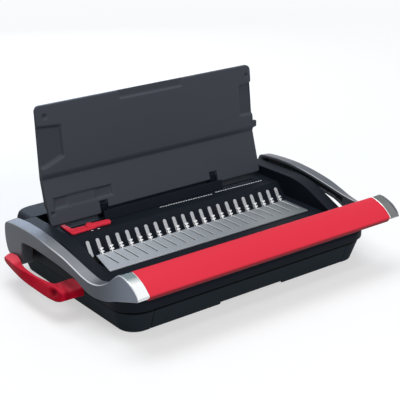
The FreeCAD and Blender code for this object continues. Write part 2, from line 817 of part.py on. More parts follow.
def rake():
    """Sliding bar under the plate with a two pronged hook that leans in front of each finger but the first."""
    half = "(rake_link_in - seat_gap)"
    body = slab("opener_rake", "XY_Plane", rectangle((f"-{half}", half), ("rake_front_y", "rake_rear_y")),
                "rake_low_z", "rake_high_z")
    root, foot = "finger_root_y - hook_gap", "rake_high_z - lap"
    front_bend, back_bend = hook_faces("hook_bend_z")
    front_top, back_top = hook_faces("hook_top_z")
    stem = sketch_on(body, "YZ_Plane",
                     [(f"{root} - hook_gauge", foot), (root, foot), (root, "strip_high_z"),
                      (back_bend, "hook_bend_z"), (back_top, "hook_top_z"), (front_top, "hook_top_z"),
                      (front_bend, "hook_bend_z")], "first_hook_x - hook_width / 2")
    row_of(body, pad_on(body, stem, "hook_width"), "hook_count")
    for high in ("hook_top_z", "hook_top_z - hook_prong - hook_space"):
        low = f"{high} - hook_prong"
        (front_low, back_low), (front_high, back_high) = hook_faces(f"({low})"), hook_faces(f"({high})")
        prong = sketch_on(body, "YZ_Plane",
                          [(front_low, low), (back_low, low), (back_high, high), (front_high, high)],
                          "first_hook_x - hook_left")
        row_of(body, pad_on(body, prong, "hook_left + hook_right"), "hook_count")
    return body


def drive_link(label, x, front, throw, pin_y, high_z):
    """Flat link from a front corner to an open fork that a crank pin works in."""
    notch_z = f"pivot_z - {throw} - pin_radius - fork_play"
    near, far = f"{pin_y} - pin_radius - fork_play", f"{pin_y} + pin_radius + fork_play"
    return slab(label, "YZ_Plane",
                [front, (f"{near} - 2 * fork_wall", f"{notch_z} - fork_wall"),
                 (f"{far} + fork_wall", f"{notch_z} - fork_wall"), (f"{far} + fork_wall", high_z),
                 (far, high_z), (far, notch_z), (near, notch_z), (near, high_z), (front[0], high_z)], *x)


def rake_link(label):
    """Link from a crank to the rake, with a lug that slides in the side frame."""
    plate = drive_link(label + "_plate", ("rake_link_in", "rake_link_out"), ("rake_front_y", "rake_low_z"),
                       "rake_throw", "rake_pin_y", "rake_high_z")
    lug = box(label + "_lug", ("rake_link_out - lap", "frame_outer_x - lug_play"),
              ("rake_front_y", "rake_front_y + lug_length"),
              ("rake_low_z + lug_inset", "rake_high_z - lug_inset"))
    return fuse(label, plate, lug)


def punch_link(label):
    """Link from a crank to one end of the punch bar."""
    return drive_link(label, ("punch_link_in", "punch_link_out"),
                      ("punch_bar_y", "pivot_z - punch_throw - pin_radius - fork_play - fork_wall"),
                      "punch_throw", "punch_pin_y", "pivot_z - shaft_radius - fork_play")


def punch_bar():
    """Bar behind the step that carries every punch pin."""
    half = "(punch_link_in - seat_gap)"
    return box("punch_bar", (f"-{half}", half), ("punch_bar_y", "punch_bar_y + punch_bar_depth"),
               ("punch_z - punch_bar_height / 2", "punch_z + punch_bar_height / 2"))


def punch_pins():
    """One flat pin for each slot of the comb."""
    pins = []
    for index in range(round(number("hook_count"))):
        middle = f"(first_slot_x + pitch * {index})"
        pins.append(box(f"punch_pin_{index}", (f"{middle} - pin_width / 2", f"{middle} + pin_width / 2"),
                        ("punch_bar_y + punch_bar_depth + seat_gap", "pin_tip_y"),
                        ("punch_z - pin_height / 2", "punch_z + pin_height / 2")))
    return group("punch_pins", *pins)


def pierced_plate(label, front_y, rear_y):
    """Upright plate with a rectangular hole for each punch pin."""
    outline = rectangle(("-die_width / 2", "die_width / 2"), ("die_low_z", "die_high_z"))
    body = slab(label, "XZ_Plane", outline, front_y, rear_y)
    half_width, half_height = "(pin_width / 2 + pin_play)", "(pin_height / 2 + pin_play)"
    hole = pocket_on(body, "XZ_Plane",
                     rectangle((f"first_slot_x - {half_width}", f"first_slot_x + {half_width}"),
                               (f"punch_z - {half_height}", f"punch_z + {half_height}")),
                     f"over - ({front_y})", f"({rear_y}) - ({front_y}) + 2 * over")
    row_of(body, hole, "hook_count")
    return body


def throat_spacer():
    """U shaped spacer that holds the two plates apart and stops the sheets."""
    half, inner = "die_width / 2", "throat_width / 2"
    return slab("throat_spacer", "XZ_Plane",
                [(f"-{half}", "die_low_z"), (half, "die_low_z"), (half, "die_high_z"), (inner, "die_high_z"),
                 (inner, "throat_floor_z"), (f"-{inner}", "throat_floor_z"), (f"-{inner}", "die_high_z"),
                 (f"-{half}", "die_high_z")], "throat_y + snug", "throat_rear_y - snug")


def throat_guard():
    """Raised ledge in front of the throat that sheets slide down behind."""
    back = "throat_y - guard_setback"
    return slab("throat_guard", "YZ_Plane",
                [("guard_front_y", "bench_z"), (back, "bench_z"), (back, "guard_top_z"),
                 ("guard_front_y + guard_lean", "guard_top_z")], "-guard_width / 2", "guard_width / 2")


def side_frame(label):
    """Steel plate inside a cheek that carries the shaft and guides the rake."""
    plate = slab(label + "_plate", "YZ_Plane",
                 [("frame_front_y", "frame_low_z"), ("frame_rear_y", "frame_low_z"),
                  ("frame_rear_y", "frame_back_z"), ("pivot_y", "frame_high_z"),
                  ("frame_crown_y", "frame_high_z"), ("frame_front_y", "deck_z")],
                 "frame_inner_x", "frame_outer_x")
    through = ("frame_inner_x - over", "frame_outer_x + over")
    slot = box(label + "_slot", through,
               ("rake_front_y - rake_travel - lug_play", "rake_front_y + lug_length + lug_play"),
               ("rake_low_z + lug_inset - lug_play", "rake_high_z - lug_inset + lug_play"))
    seat = rod(label + "_seat", "x", "bush_radius + snug", *through, PIVOT)
    return cut(label, plate, slot, seat)


def ring(label, outer, inner, low, high, at):
    """Flat ring along X."""
    return cut(label, rod(label + "_disc", "x", outer, low, high, at),
               rod(label + "_bore", "x", inner, f"{low} - over", f"{high} + over", at))


def bushes():
    """Plain bearings of the cross shaft, one through each side frame and housing wall."""
    low, high = "frame_inner_x - bush_proud", "half_housing + bush_proud"
    right = ring("bush_right", "bush_radius", "shaft_radius + running_gap", low, high, PIVOT)
    return group("shaft_bushes", right, mirrored("bush_left", right))


def cross_shaft():
    """Shaft that the whole lever turns on and drives."""
    return rod("cross_shaft", "x", "shaft_radius", "-shaft_end_x", "shaft_end_x", PIVOT)


def crank(label):
    """Crank on the shaft with an inner pin for the punch and an outer pin for the rake."""
    along_y, along_z = "crank_half * sin(half_swing * 1deg)", "crank_half * cos(half_swing * 1deg)"
    web = slab(label + "_web", "YZ_Plane",
               [(f"pivot_y - {along_z}", f"pivot_z - {along_y}"),
                (f"rake_pin_y - {along_z}", f"rake_pin_z - {along_y}"),
                (f"rake_pin_y + {along_y}", f"rake_pin_z - {along_z}", "crank_half"),
                (f"rake_pin_y + {along_z}", f"rake_pin_z + {along_y}", "crank_half"),
                (f"pivot_y + {along_z}", f"pivot_z + {along_y}")], "crank_inner_x", "crank_outer_x")
    hub = rod(label + "_hub", "x", "crank_hub", "crank_inner_x", "crank_outer_x", PIVOT)
    punch_pin = rod(label + "_punch_pin", "x", "pin_radius", "punch_link_in", "crank_inner_x + lap",
                    ("punch_pin_y", "punch_pin_z"))
    rake_pin = rod(label + "_rake_pin", "x", "pin_radius", "crank_outer_x - lap", "rake_link_out",
                   ("rake_pin_y", "rake_pin_z"))
    bore = rod(label + "_bore", "x", "shaft_radius + snug", "crank_inner_x - over", "crank_outer_x + over",
               PIVOT)
    return cut(label, fuse(label + "_solid", web, hub, punch_pin, rake_pin), bore)


def arm_outline():
    """Side view of an arm from its boss along the belly to the grip and back over the crown."""
    return [("pivot_y", "pivot_z - arm_boss", "-arm_boss"), ("pivot_y - arm_boss", "pivot_z", "-arm_boss"),
            ("arm_root_y", "arm_root_z", "arm_notch"), ("arm_belly_y", "arm_belly_z", "arm_belly_bow"),
            ("arm_chin_y", "arm_chin_z"), ("arm_jaw_y", "arm_jaw_z", "-arm_chin_bow"),
            ("grip_lip_y", "grip_lip_z"), ("grip_nose_y", "grip_nose_z"),
            ("grip_back_y", "grip_back_z", "-grip_crown_bow"), ("arm_crook_y", "arm_crook_z"),
            ("arm_dip_y", "arm_dip_z"), ("arm_waist_y", "arm_waist_z"),
            ("arm_slope_y", "arm_slope_z"), ("arm_shoulder_y", "arm_shoulder_z", "-arm_crown_bow"),
            ("pivot_y + arm_boss", "arm_back_z"), ("pivot_y + arm_boss", "pivot_z")]


def arm_core(inset):
    """Side view of the space inside an arm, drawn in by an inset."""
    front = f"(arm_chin_y + {inset})"
    return [("pivot_y", f"arm_root_z + {inset}"), ("arm_root_y", f"arm_root_z + {inset}"),
            ("arm_belly_y", f"arm_belly_z + {inset}", "arm_belly_bow"),
            (front, f"arm_belly_z + {inset} + ({front} - arm_belly_y) * arm_fall"),
            (front, f"arm_slope_z - {inset} + ({front} - arm_slope_y) * arm_rise"),
            ("arm_slope_y", f"arm_slope_z - {inset}"),
            ("pivot_y", f"arm_shoulder_z - {inset}", "-arm_crown_bow")]


def arm(label):
    """Moulded lever arm: boss at the pivot, long bowed beam, elbow and a spigot into the grip."""
    side = slab(label + "_side", "YZ_Plane", arm_outline(), "half_housing", "arm_outer_x + over")
    back, nose = "pivot_y + arm_boss + over", "grip_nose_y - over"
    outline = slab(label + "_plan", "XY_Plane",
                   [("arm_inner_x", back), ("arm_inner_x", "arm_crook_y"), ("arm_plate_x", "arm_heel_y"),
                    ("arm_plate_x", nose), ("arm_end_x", nose), ("arm_end_x", "arm_end_y"),
                    ("arm_elbow_x", "arm_elbow_y", "arm_elbow_bow"), ("arm_outer_x", "arm_taper_y"),
                    ("arm_outer_x", back)], "0", "lid_top_z")
    depth = ("half_housing", "arm_elbow_x - arm_skin")
    hollow = slab(label + "_hollow", "YZ_Plane", arm_core("arm_skin"), *depth)
    socket = rod(label + "_socket", "x", "arm_boss - arm_skin", *depth, PIVOT)
    start = "grip_half - spigot_length"
    spigot = rod(label + "_spigot", "x", "spigot_radius", start, "arm_plate_x + lap", CORE)
    bore = rod(label + "_bore", "x", "core_diameter / 2 + snug", f"{start} - over", "grip_half", CORE)
    beam = cut(label + "_beam", common(label + "_solid", side, outline), hollow, socket)
    return cut(label, fuse(label + "_whole", beam, spigot), bore)


def arm_bar(label):
    """Steel bar inside an arm, keyed to the shaft end."""
    strip = slab(label + "_strip", "YZ_Plane", arm_core("(arm_skin + bar_play)"), "bar_in", "bar_out")
    hub = rod(label + "_hub", "x", "bar_hub", "bar_in", "bar_out", PIVOT)
    bore = rod(label + "_bore", "x", "shaft_radius + snug", "bar_in - over", "bar_out + over", PIVOT)
    return cut(label, fuse(label + "_solid", strip, hub), bore)


def shaft_rings():
    """Retaining rings on the shaft ends outside the steel bars."""
    start = "bar_out + seat_gap"
    outer, inner = "shaft_radius + ring_wall", "shaft_radius + snug"
    right = ring("ring_right", outer, inner, start, f"{start} + ring_gauge", PIVOT)
    return group("shaft_rings", right, mirrored("ring_left", right))


def grip_outline():
    """Wing shaped section of the grip."""
    return [("grip_lip_y", "grip_lip_z"), ("grip_keel_y", "grip_keel_z"), ("grip_heel_y", "grip_heel_z"),
            ("grip_back_y", "grip_back_z"), ("grip_nose_y", "grip_nose_z", "grip_crown_bow")]


def grip_sleeve():
    """Hollow red sleeve of the grip, open at both ends."""
    body = slab("grip_sleeve", "YZ_Plane", grip_outline(), "-red_half", "red_half")
    doc.recompute()
    base = body.Tip
    ends = [f"Face{index}" for index, face in enumerate(base.Shape.Faces, start=1)
            if abs(face.normalAt(0, 0).x) > abs(face.normalAt(0, 0).z)]
    shell = body.newObject("PartDesign::Thickness", "Shell")
    shell.Base = (base, ends)
    shell.setExpression("Value", bound("grip_skin"))
    shell.Reversed = True
    shell.Join = 1
    body.Tip = shell
    return body


def grip_collar(label):
    """Bright collar between the sleeve and an arm, bored for the arm's spigot."""
    block = slab(label + "_block", "YZ_Plane", grip_outline(), "red_half + seat_gap", "grip_half")
    bore = rod(label + "_bore", "x", "spigot_radius + seat_gap", "red_half - over", "grip_half + over", CORE)
    return cut(label, block, bore)


def grip_core():
    """Steel tube through the sleeve and collars, from arm to arm."""
    radius = "core_diameter / 2"
    return ring("grip_core", radius, f"{radius} - core_wall", "-grip_half", "grip_half", CORE)


def lid_front(shift):
    """Front face of the lid from its foot to its top, moved back by a shift."""
    return [(f"lid_foot_y + {shift}", "lid_foot_z"), (f"lid_crease_y + {shift}", "lid_crease_z"),
            (f"lid_step_y + {shift}", "lid_step_z"), (f"lid_top_y + {shift}", "lid_top_z")]


def lid_face(height, shift):
    """Point on the lid's upper front face at a height, moved back by a shift."""
    return (f"lid_step_y + ({height} - lid_step_z) * lid_upper_slope + {shift}", height)


def lid_outline(name):
    """Front view of the lid with round top corners, as deep as the lid."""
    turn_x, turn_z = "lid_half - lid_round", "lid_top_z - lid_round"
    return slab(name, "XZ_Plane",
                [("-lid_half", "lid_foot_z - over"), ("lid_half", "lid_foot_z - over"), ("lid_half", turn_z),
                 (turn_x, "lid_top_z", "lid_round"), (f"-({turn_x})", "lid_top_z"),
                 ("-lid_half", turn_z, "lid_round")], "lid_foot_y - over", "lid_back_y + over")


def lid_cuts():
    """Hinge notches, raised middle edge, bores, finger scoop and end pockets of the panel."""
    depth = ("lid_foot_y - over", "lid_back_y + over")
    cuts = [box(f"lid_notch_{side}", span, depth, ("lid_foot_z - over", "notch_top_z"))
            for side, span in (("right", ("notch_inner_x", "tongue_inner_x")),
                               ("left", ("-tongue_inner_x", "-notch_inner_x")))]
    cuts.append(box("lid_middle", ("-tongue_inner_x", "tongue_inner_x"), depth,
                    ("lid_foot_z - over", "lid_middle_z")))
    pin_end = "(tongue_inner_x + hinge_pin_grip + hinge_gap)"
    cuts.append(rod("lid_bore", "x", "hinge_pin / 2 + running_gap", f"-{pin_end}", pin_end, HINGE))
    low = "(lid_top_z - scoop_drop)"
    cuts.append(slab("lid_scoop", "YZ_Plane",
                     [lid_face(low, "0"), ("lid_top_y + scoop_depth", "lid_top_z + over"),
                      ("lid_top_y - over", "lid_top_z + over")], "-scoop_width / 2", "scoop_width / 2"))
    hollow = [lid_face("pocket_low_z", "-over"), lid_face("pocket_low_z", "pocket_depth"),
              lid_face("pocket_high_z", "pocket_depth"), lid_face("pocket_high_z", "-over")]
    far, near = "lid_half - pocket_edge", "lid_half - pocket_width"
    cuts.append(slab("lid_pocket_right", "YZ_Plane", hollow, near, far))
    cuts.append(slab("lid_pocket_left", "YZ_Plane", hollow, f"-({far})", f"-({near})"))
    return cuts


def lid_panel():
    """Inner face of the lid with its hinge rail, pockets, finger scoop and side tab."""
    section = [*lid_front("0"), *reversed(lid_front("lid_skin"))]
    skin = slab("lid_skin_plate", "YZ_Plane", section, "-lid_half", "lid_half")
    rail = slab("lid_rail", "YZ_Plane",
                [("lid_foot_y + lap", "lid_foot_z"),
                 ("lid_foot_y + lap + (rail_top_z - lid_foot_z) * lid_slope", "rail_top_z"),
                 ("rail_top_y", "rail_top_z"), ("rail_tail_y", "rail_tail_z"), ("rail_foot_y", "lid_foot_z")],
                "-lid_half", "lid_half")
    tab = box("lid_tab", ("lid_half - over", "lid_half + lid_tab_reach"),
              ("lid_tab_y", "lid_tab_y + lid_tab_gauge"), ("lid_tab_low_z", "lid_tab_high_z"))
    plate = common("lid_plate", fuse("lid_panel_body", skin, rail), lid_outline("lid_panel_outline"))
    return cut("lid_panel", fuse("lid_panel_solid", plate, tab), *lid_cuts())


def lid_cover():
    """Outer shell of the lid that closes its back and ends."""
    seam, foot = "(lid_skin + seat_gap)", "(rail_top_z + seat_gap)"
    back = [("lid_back_y", "lid_top_z"), ("lid_knee_y", "lid_crease_z"), ("rail_top_y + part_gap", foot)]
    inner = [("lid_back_y - lid_rim", "lid_top_z"), ("lid_knee_y - lid_side_wall", "lid_crease_z"),
             ("rail_top_y + part_gap - lid_side_wall", foot)]
    skin = slab("lid_back_skin", "YZ_Plane", [*back, *reversed(inner)], "-lid_half", "lid_half")
    face = [(f"lid_foot_y + {seam} + ({foot} - lid_foot_z) * lid_slope", foot), *lid_front(seam)[1:]]
    ends = [slab(f"lid_end_{side}", "YZ_Plane", [*face, *back], low, high)
            for side, low, high in (("right", "lid_half - lid_side_wall", "lid_half"),
                                    ("left", "-lid_half", "lid_side_wall - lid_half"))]
    return common("lid_cover", fuse("lid_cover_body", skin, *ends), lid_outline("lid_cover_outline"))


def hinge_brackets():
    """Two upright eyes on the bench that carry the lid."""
    low, high = "notch_inner_x + hinge_gap", "tongue_inner_x - hinge_gap"
    post = box("hinge_post", (low, high), ("hinge_y - hinge_eye", "hinge_y + hinge_eye"),
               ("bench_z", "hinge_z"))
    eye = rod("hinge_eye_solid", "x", "hinge_eye", low, high, HINGE)
    bore = rod("hinge_bore", "x", "hinge_pin / 2 + snug", f"{low} - over", f"{high} + over", HINGE)
    right = cut("hinge_bracket_right", fuse("hinge_solid", post, eye), bore)
    return group("hinge_brackets", right, mirrored("hinge_bracket_left", right))


def hinge_pins():
    """Pins through the brackets into the lid's rail."""
    right = rod("hinge_pin_right", "x", "hinge_pin / 2", "notch_inner_x - hinge_pin_grip",
                "tongue_inner_x + hinge_pin_grip", HINGE)
    return group("hinge_pins", right, mirrored("hinge_pin_left", right))


def edge_guide():
    """L shaped sheet stop that slides across the bench, with a finger knob."""
    front = ("guide_front_y", "guide_front_y + guide_bar")
    low, foot_high = "bench_z + guide_lift", "bench_under_z - guide_lift"
    across = ("guide_foot_left", "guide_foot_right")
    bar = box("guide_bar_solid", ("guide_left_x", "guide_right_x"), front, (low, "bench_z + guide_top"))
    leg = box("guide_leg", ("guide_left_x", "guide_left_x + guide_bar"), ("guide_front_y", "guide_leg_y"),
              (low, "bench_z + guide_top"))
    knob = box("guide_knob_solid", ("guide_right_x - guide_knob", "guide_right_x"), front,
               (low, "bench_z + guide_knob_top"))
    stem = box("guide_stem_solid", across,
               ("guide_middle_y - guide_stem / 2", "guide_middle_y + guide_stem / 2"),
               (f"{foot_high} - lap", f"{low} + lap"))
    foot = box("guide_foot_solid", across, ("guide_middle_y - guide_stem", "guide_middle_y + guide_stem"),
               (f"{foot_high} - guide_foot_gauge", foot_high))
    return fuse("edge_guide", bar, leg, knob, stem, foot)


def carry_handle():
    """D shaped carrying loop on the left side, hooked in at the back and screwed at the front."""
    root, outer, inner = "-handle_root_x", "-handle_outer_x", "-handle_inner_x"
    front_leg, rear_leg = "handle_front_y + handle_front_leg", "handle_rear_y - handle_rear_leg"
    body = slab("handle_body", "XY_Plane",
                [(root, "handle_front_y"), (f"{outer} + handle_front_corner", "handle_front_y"),
                 (outer, "handle_front_y + handle_front_corner", "-handle_front_corner"),
                 (outer, "handle_rear_y - handle_rear_corner"),
                 (f"{outer} + handle_rear_corner", "handle_rear_y", "-handle_rear_corner"),
                 (root, "handle_rear_y"), (root, rear_leg), (f"{inner} + handle_crook", rear_leg),
                 (inner, f"{rear_leg} - handle_crook", "handle_crook"),
                 (inner, f"{front_leg} + handle_crook"),
                 (f"{inner} + handle_crook", front_leg, "handle_crook"), (root, front_leg)],
                "handle_low_z", "handle_high_z")
    wall_x = -number("handle_root_x")
    rounded_edges(body, "handle_round",
                  lambda edge: any(vertex.X < wall_x - 1 for vertex in edge.Vertexes)
                  and edge.Vertexes[0].Z == edge.Vertexes[-1].Z)
    cuts = [box("handle_step", ("-arm_outer_x - handle_boss_gap", "over - handle_root_x"),
                ("pivot_y - arm_boss - handle_boss_gap", "handle_rear_y + over"),
                ("handle_rear_high_z", "handle_high_z + over"))]
    cuts.append(rod("handle_bore", "x", "screw_diameter / 2 + screw_play", "-handle_outer_x - over",
                    "over - handle_root_x", HANDLE_SCREW))
    cuts.append(rod("handle_sink", "x", "screw_head / 2 + screw_play", "-handle_outer_x - over",
                    "handle_seat_x", HANDLE_SCREW))
    hook = box("handle_hook", ("-handle_root_x - lap", "-cavity_x - seat_gap"),
               ("hook_front_y", "hook_rear_y"), ("hook_low_z", "handle_rear_high_z"))
    return fuse("carry_handle", cut("handle_loop", body, *cuts), hook)


def handle_screw():
    """Screw deep in the handle's front end."""
    head = rod("handle_head", "x", "screw_head / 2", "handle_seat_x - screw_head_height", "handle_seat_x",
               HANDLE_SCREW)
    shank = rod("handle_shank", "x", "screw_diameter / 2", "handle_seat_x - lap", "-cavity_x - seat_gap",
                HANDLE_SCREW)
    return fuse("handle_screw", head, shank)


keep(tub())
keep(feet())
keep(housing_screws())
keep(drawer())
keep(housing())
keep(rear_cover())
keep(work_plate())
keep(finger_comb())
keep(rake())
both_sides("rake_link", rake_link)
keep(punch_bar())
keep(punch_pins())
both_sides("punch_link", punch_link)
keep(pierced_plate("guide_plate", "throat_y - guide_gauge", "throat_y"))
keep(pierced_plate("die_plate", "throat_rear_y", "throat_rear_y + die_gauge"))
keep(throat_spacer())
keep(throat_guard())
both_sides("side_frame", side_frame)
keep(bushes())
keep(cross_shaft())
both_sides("crank", crank)
both_sides("arm", arm)
both_sides("arm_bar", arm_bar)
keep(shaft_rings())
keep(grip_sleeve())
both_sides("collar", grip_collar)
keep(grip_core())
keep(lid_panel())
keep(lid_cover())
keep(hinge_brackets())
keep(hinge_pins())
keep(edge_guide())
keep(carry_handle())
keep(handle_screw())
doc.recompute()

broken = [item.Label for item in doc.Objects if {"Invalid", "Error"} & set(item.State)]
if broken:
    raise RuntimeError("failed features: " + ", ".join(broken))
for label, solid in NODES.items():
    if solid.Shape.isNull() or not solid.Shape.isValid():
        raise RuntimeError("bad shape: " + label)
os.makedirs("parts", exist_ok=True)
for label, solid in NODES.items():
    solid.Shape.exportStep(f"parts/{label}.step")
    print(label, len(solid.Shape.Solids), round(solid.Shape.Volume))
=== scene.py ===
"""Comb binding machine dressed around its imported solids.

Sizes are in millimetres in the frame of the solids: X across the machine, +Y to the back, +Z up.
Each sub-assembly is a class that builds its pieces and rides them on the bodies of the frame.
"""
import json
import logging
import math
from collections.abc import Callable, Sequence
from dataclasses import dataclass, field, replace
from enum import Enum
from typing import Any

import bmesh
import bpy
from mathutils import Matrix, Vector

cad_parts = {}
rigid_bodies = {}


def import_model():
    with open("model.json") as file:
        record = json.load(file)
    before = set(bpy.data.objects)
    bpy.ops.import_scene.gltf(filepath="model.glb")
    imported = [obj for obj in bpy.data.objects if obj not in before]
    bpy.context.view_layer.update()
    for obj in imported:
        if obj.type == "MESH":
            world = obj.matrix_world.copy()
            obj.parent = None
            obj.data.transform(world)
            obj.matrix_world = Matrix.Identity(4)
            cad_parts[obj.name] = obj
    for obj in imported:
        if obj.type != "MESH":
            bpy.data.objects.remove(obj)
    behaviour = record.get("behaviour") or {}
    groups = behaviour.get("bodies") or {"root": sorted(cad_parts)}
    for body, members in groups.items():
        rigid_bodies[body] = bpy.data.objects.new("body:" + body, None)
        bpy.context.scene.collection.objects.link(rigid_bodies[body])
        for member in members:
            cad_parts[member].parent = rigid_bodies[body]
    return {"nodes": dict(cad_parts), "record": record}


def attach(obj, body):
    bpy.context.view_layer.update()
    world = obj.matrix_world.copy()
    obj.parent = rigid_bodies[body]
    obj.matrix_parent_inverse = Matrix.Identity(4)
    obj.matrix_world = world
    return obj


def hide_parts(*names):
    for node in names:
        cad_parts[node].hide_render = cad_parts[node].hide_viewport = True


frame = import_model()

MM = 0.001
WELD = 1e-6
NODE_WELD = 2e-6
LEVEL_DEGREES = 0.6
LOG = logging.getLogger("comb_binder")
Point2 = tuple[float, float]
Point3 = tuple[float, float, float]
Colour = tuple[float, float, float]
Corners = tuple[tuple[float, ...], ...]
Line = Callable[[float], float]
Put = Callable[[float, float, float], Point3]


class Body(str, Enum):
    """Moving bodies of the frame that pieces ride on."""

    BASE = "base"
    LEVER = "lever"
    RAKE = "rake"
    LID = "lid"
    GUIDE = "guide"
    DRAWER = "drawer"


class Side(Enum):
    """Which end of the machine a mirrored piece is on."""

    LEFT = -1
    RIGHT = 1

    @property
    def word(self) -> str:
        """The side's name as it stands in piece names."""
        return self.name.lower()


# Shader maths


class Wire:
    """One value socket of a material, with arithmetic that adds Math nodes."""

    def __init__(self, tree: "Tree", socket: bpy.types.NodeSocket | None) -> None:
        """Keeps the tree and the socket.

        Args:
            tree: Node tree that new Math nodes go into.
            socket: Output socket that this wire stands for, or none for a node that ends a tree.
        """
        self.tree = tree
        self.socket = socket

    def _math(self, operation: str, first: Any, second: Any) -> "Wire":
        """A Math node between two wires or numbers."""
        return self.tree.node("ShaderNodeMath", {"operation": operation}, {0: first, 1: second})

    def __add__(self, other: Any) -> "Wire":
        """Sum."""
        return self._math("ADD", self, other)

    __radd__ = __add__

    def __sub__(self, other: Any) -> "Wire":
        """Difference."""
        return self._math("SUBTRACT", self, other)

    def __rsub__(self, other: Any) -> "Wire":
        """Difference from a number."""
        return self._math("SUBTRACT", other, self)

    def __mul__(self, other: Any) -> "Wire":
        """Product."""
        return self._math("MULTIPLY", self, other)

    __rmul__ = __mul__

    def __truediv__(self, other: Any) -> "Wire":
        """Quotient."""
        return self._math("DIVIDE", self, other)


class Tree:
    """Nodes of one material or of the world, made through a single method."""

    def __init__(self, owner: bpy.types.Material | bpy.types.World) -> None:
        """Starts with no node.

        Args:
            owner: Material or world that the nodes belong to.
        """
        self.owner = owner
        owner.use_nodes = True
        self.nodes = owner.node_tree.nodes
        self.links = owner.node_tree.links
        self.nodes.clear()

    @classmethod
    def of_material(cls, name: str) -> "Tree":
        """Tree of a new material."""
        return cls(bpy.data.materials.new(name))

    def node(self, kind: str, settings: dict[str, Any] | None = None,
             sockets: dict[Any, Any] | None = None, output: Any = 0) -> Wire:
        """Adds a node, sets it up and wires its inputs.

        Args:
            kind: Node type.
            settings: Attributes of the node, or "stops" for a colour ramp's positions and colours.
            sockets: Input values or wires by socket name or number.
            output: Name or number of the output that comes back.

        Returns:
            The chosen output.
        """
        made = self.nodes.new(kind)
        for name, value in (settings or {}).items():
            if name == "stops":
                self._set_stops(made.color_ramp, value)
            else:
                setattr(made, name, value)
        for key, value in (sockets or {}).items():
            if isinstance(value, Wire):
                self.links.new(value.socket, made.inputs[key])
            else:
                made.inputs[key].default_value = value
        return Wire(self, made.outputs[output]) if made.outputs else Wire(self, None)

    @staticmethod
    def _set_stops(ramp: bpy.types.ColorRamp, stops: Sequence[tuple[float, Colour]]) -> None:
        """Gives a colour ramp its stops."""
        while len(ramp.elements) < len(stops):
            ramp.elements.new(0.5)
        for element, (place, colour) in zip(ramp.elements, stops):
            element.position = place
            element.color = (*colour, 1.0)

    def place(self) -> Wire:
        """Object coordinates of the surface."""
        return self.node("ShaderNodeTexCoord", output="Object")

    def axis(self, name: str) -> Wire:
        """One object coordinate of the surface, in metres."""
        return self.node("ShaderNodeSeparateXYZ", {}, {0: self.place()}, name)

    def stretched(self, scale: Point3) -> Wire:
        """Object coordinates scaled along each axis."""
        return self.node("ShaderNodeMapping", {}, {"Vector": self.place(), "Scale": scale})

    def noise(self, vector: Wire, scale: float, detail: float = 2.0, rough: float = 0.5) -> Wire:
        """Grey noise between 0 and 1."""
        return self.node("ShaderNodeTexNoise", {},
                         {"Vector": vector, "Scale": scale, "Detail": detail, "Roughness": rough}, "Fac")

    def rise(self, value: Wire, low: float, high: float) -> Wire:
        """Share that rises from 0 to 1 while a value goes from low to high."""
        return self.node("ShaderNodeMapRange", {}, {0: value, 1: low, 2: high, 3: 0.0, 4: 1.0})

    def blend(self, share: Wire, low: Wire | Colour, high: Wire | Colour) -> Wire:
        """Colour that runs from low to high with a share."""
        ends = [end if isinstance(end, Wire) else (*end, 1.0) for end in (low, high)]
        return self.node("ShaderNodeMix", {"data_type": "RGBA"}, {0: share, 6: ends[0], 7: ends[1]}, 2)

    def varied(self, share: Wire, colour: Colour, amount: float) -> Wire:
        """Colour that a share makes darker or lighter by an amount."""
        return self.blend(share, shade(colour, 1 - amount), shade(colour, 1 + amount))

    def marked(self, name: str, plain: Wire, tone: Colour) -> Wire:
        """Colour that turns to a tone where a mesh attribute marks the surface."""
        share = self.node("ShaderNodeAttribute", {"attribute_name": name}, {}, "Fac")
        return self.blend(share, plain, tone)

    def bump(self, height: Wire, distance: float) -> Wire:
        """Normal from a height between 0 and 1 and the distance that 1 stands for."""
        return self.node("ShaderNodeBump", {},
                         {"Strength": 1.0, "Distance": distance, "Height": height}, "Normal")

    def backdrop_rays(self) -> Wire:
        """Share that is 1 for rays that see the backdrop straight, mirrored or through glass."""
        seen, shone, through = (self.node("ShaderNodeLightPath", output=f"Is {kind} Ray")
                                for kind in ("Camera", "Glossy", "Transmission"))
        return seen + shone + through

    def surface(self, sockets: dict[str, Any]) -> bpy.types.Material:
        """Ends the tree in a Principled shader.

        Args:
            sockets: Values and wires of the shader.

        Returns:
            The finished material.
        """
        shader = self.node("ShaderNodeBsdfPrincipled", {}, sockets, "BSDF")
        self.node("ShaderNodeOutputMaterial", {}, {"Surface": shader})
        return self.owner


def shade(colour: Colour, factor: float) -> Colour:
    """A colour made lighter or darker by a factor."""
    return (colour[0] * factor, colour[1] * factor, colour[2] * factor)


# Finishes


@dataclass(frozen=True)
class Finish:
    """Look of one slot. Each kind of finish says what goes into its shader."""

    slot: str

    def material(self) -> bpy.types.Material:
        """The node material, named after the slot."""
        tree = Tree.of_material(self.slot)
        return tree.surface(self.sockets(tree))

    def sockets(self, tree: Tree) -> dict[str, Any]:
        """Values and wires of the shader."""
        raise NotImplementedError


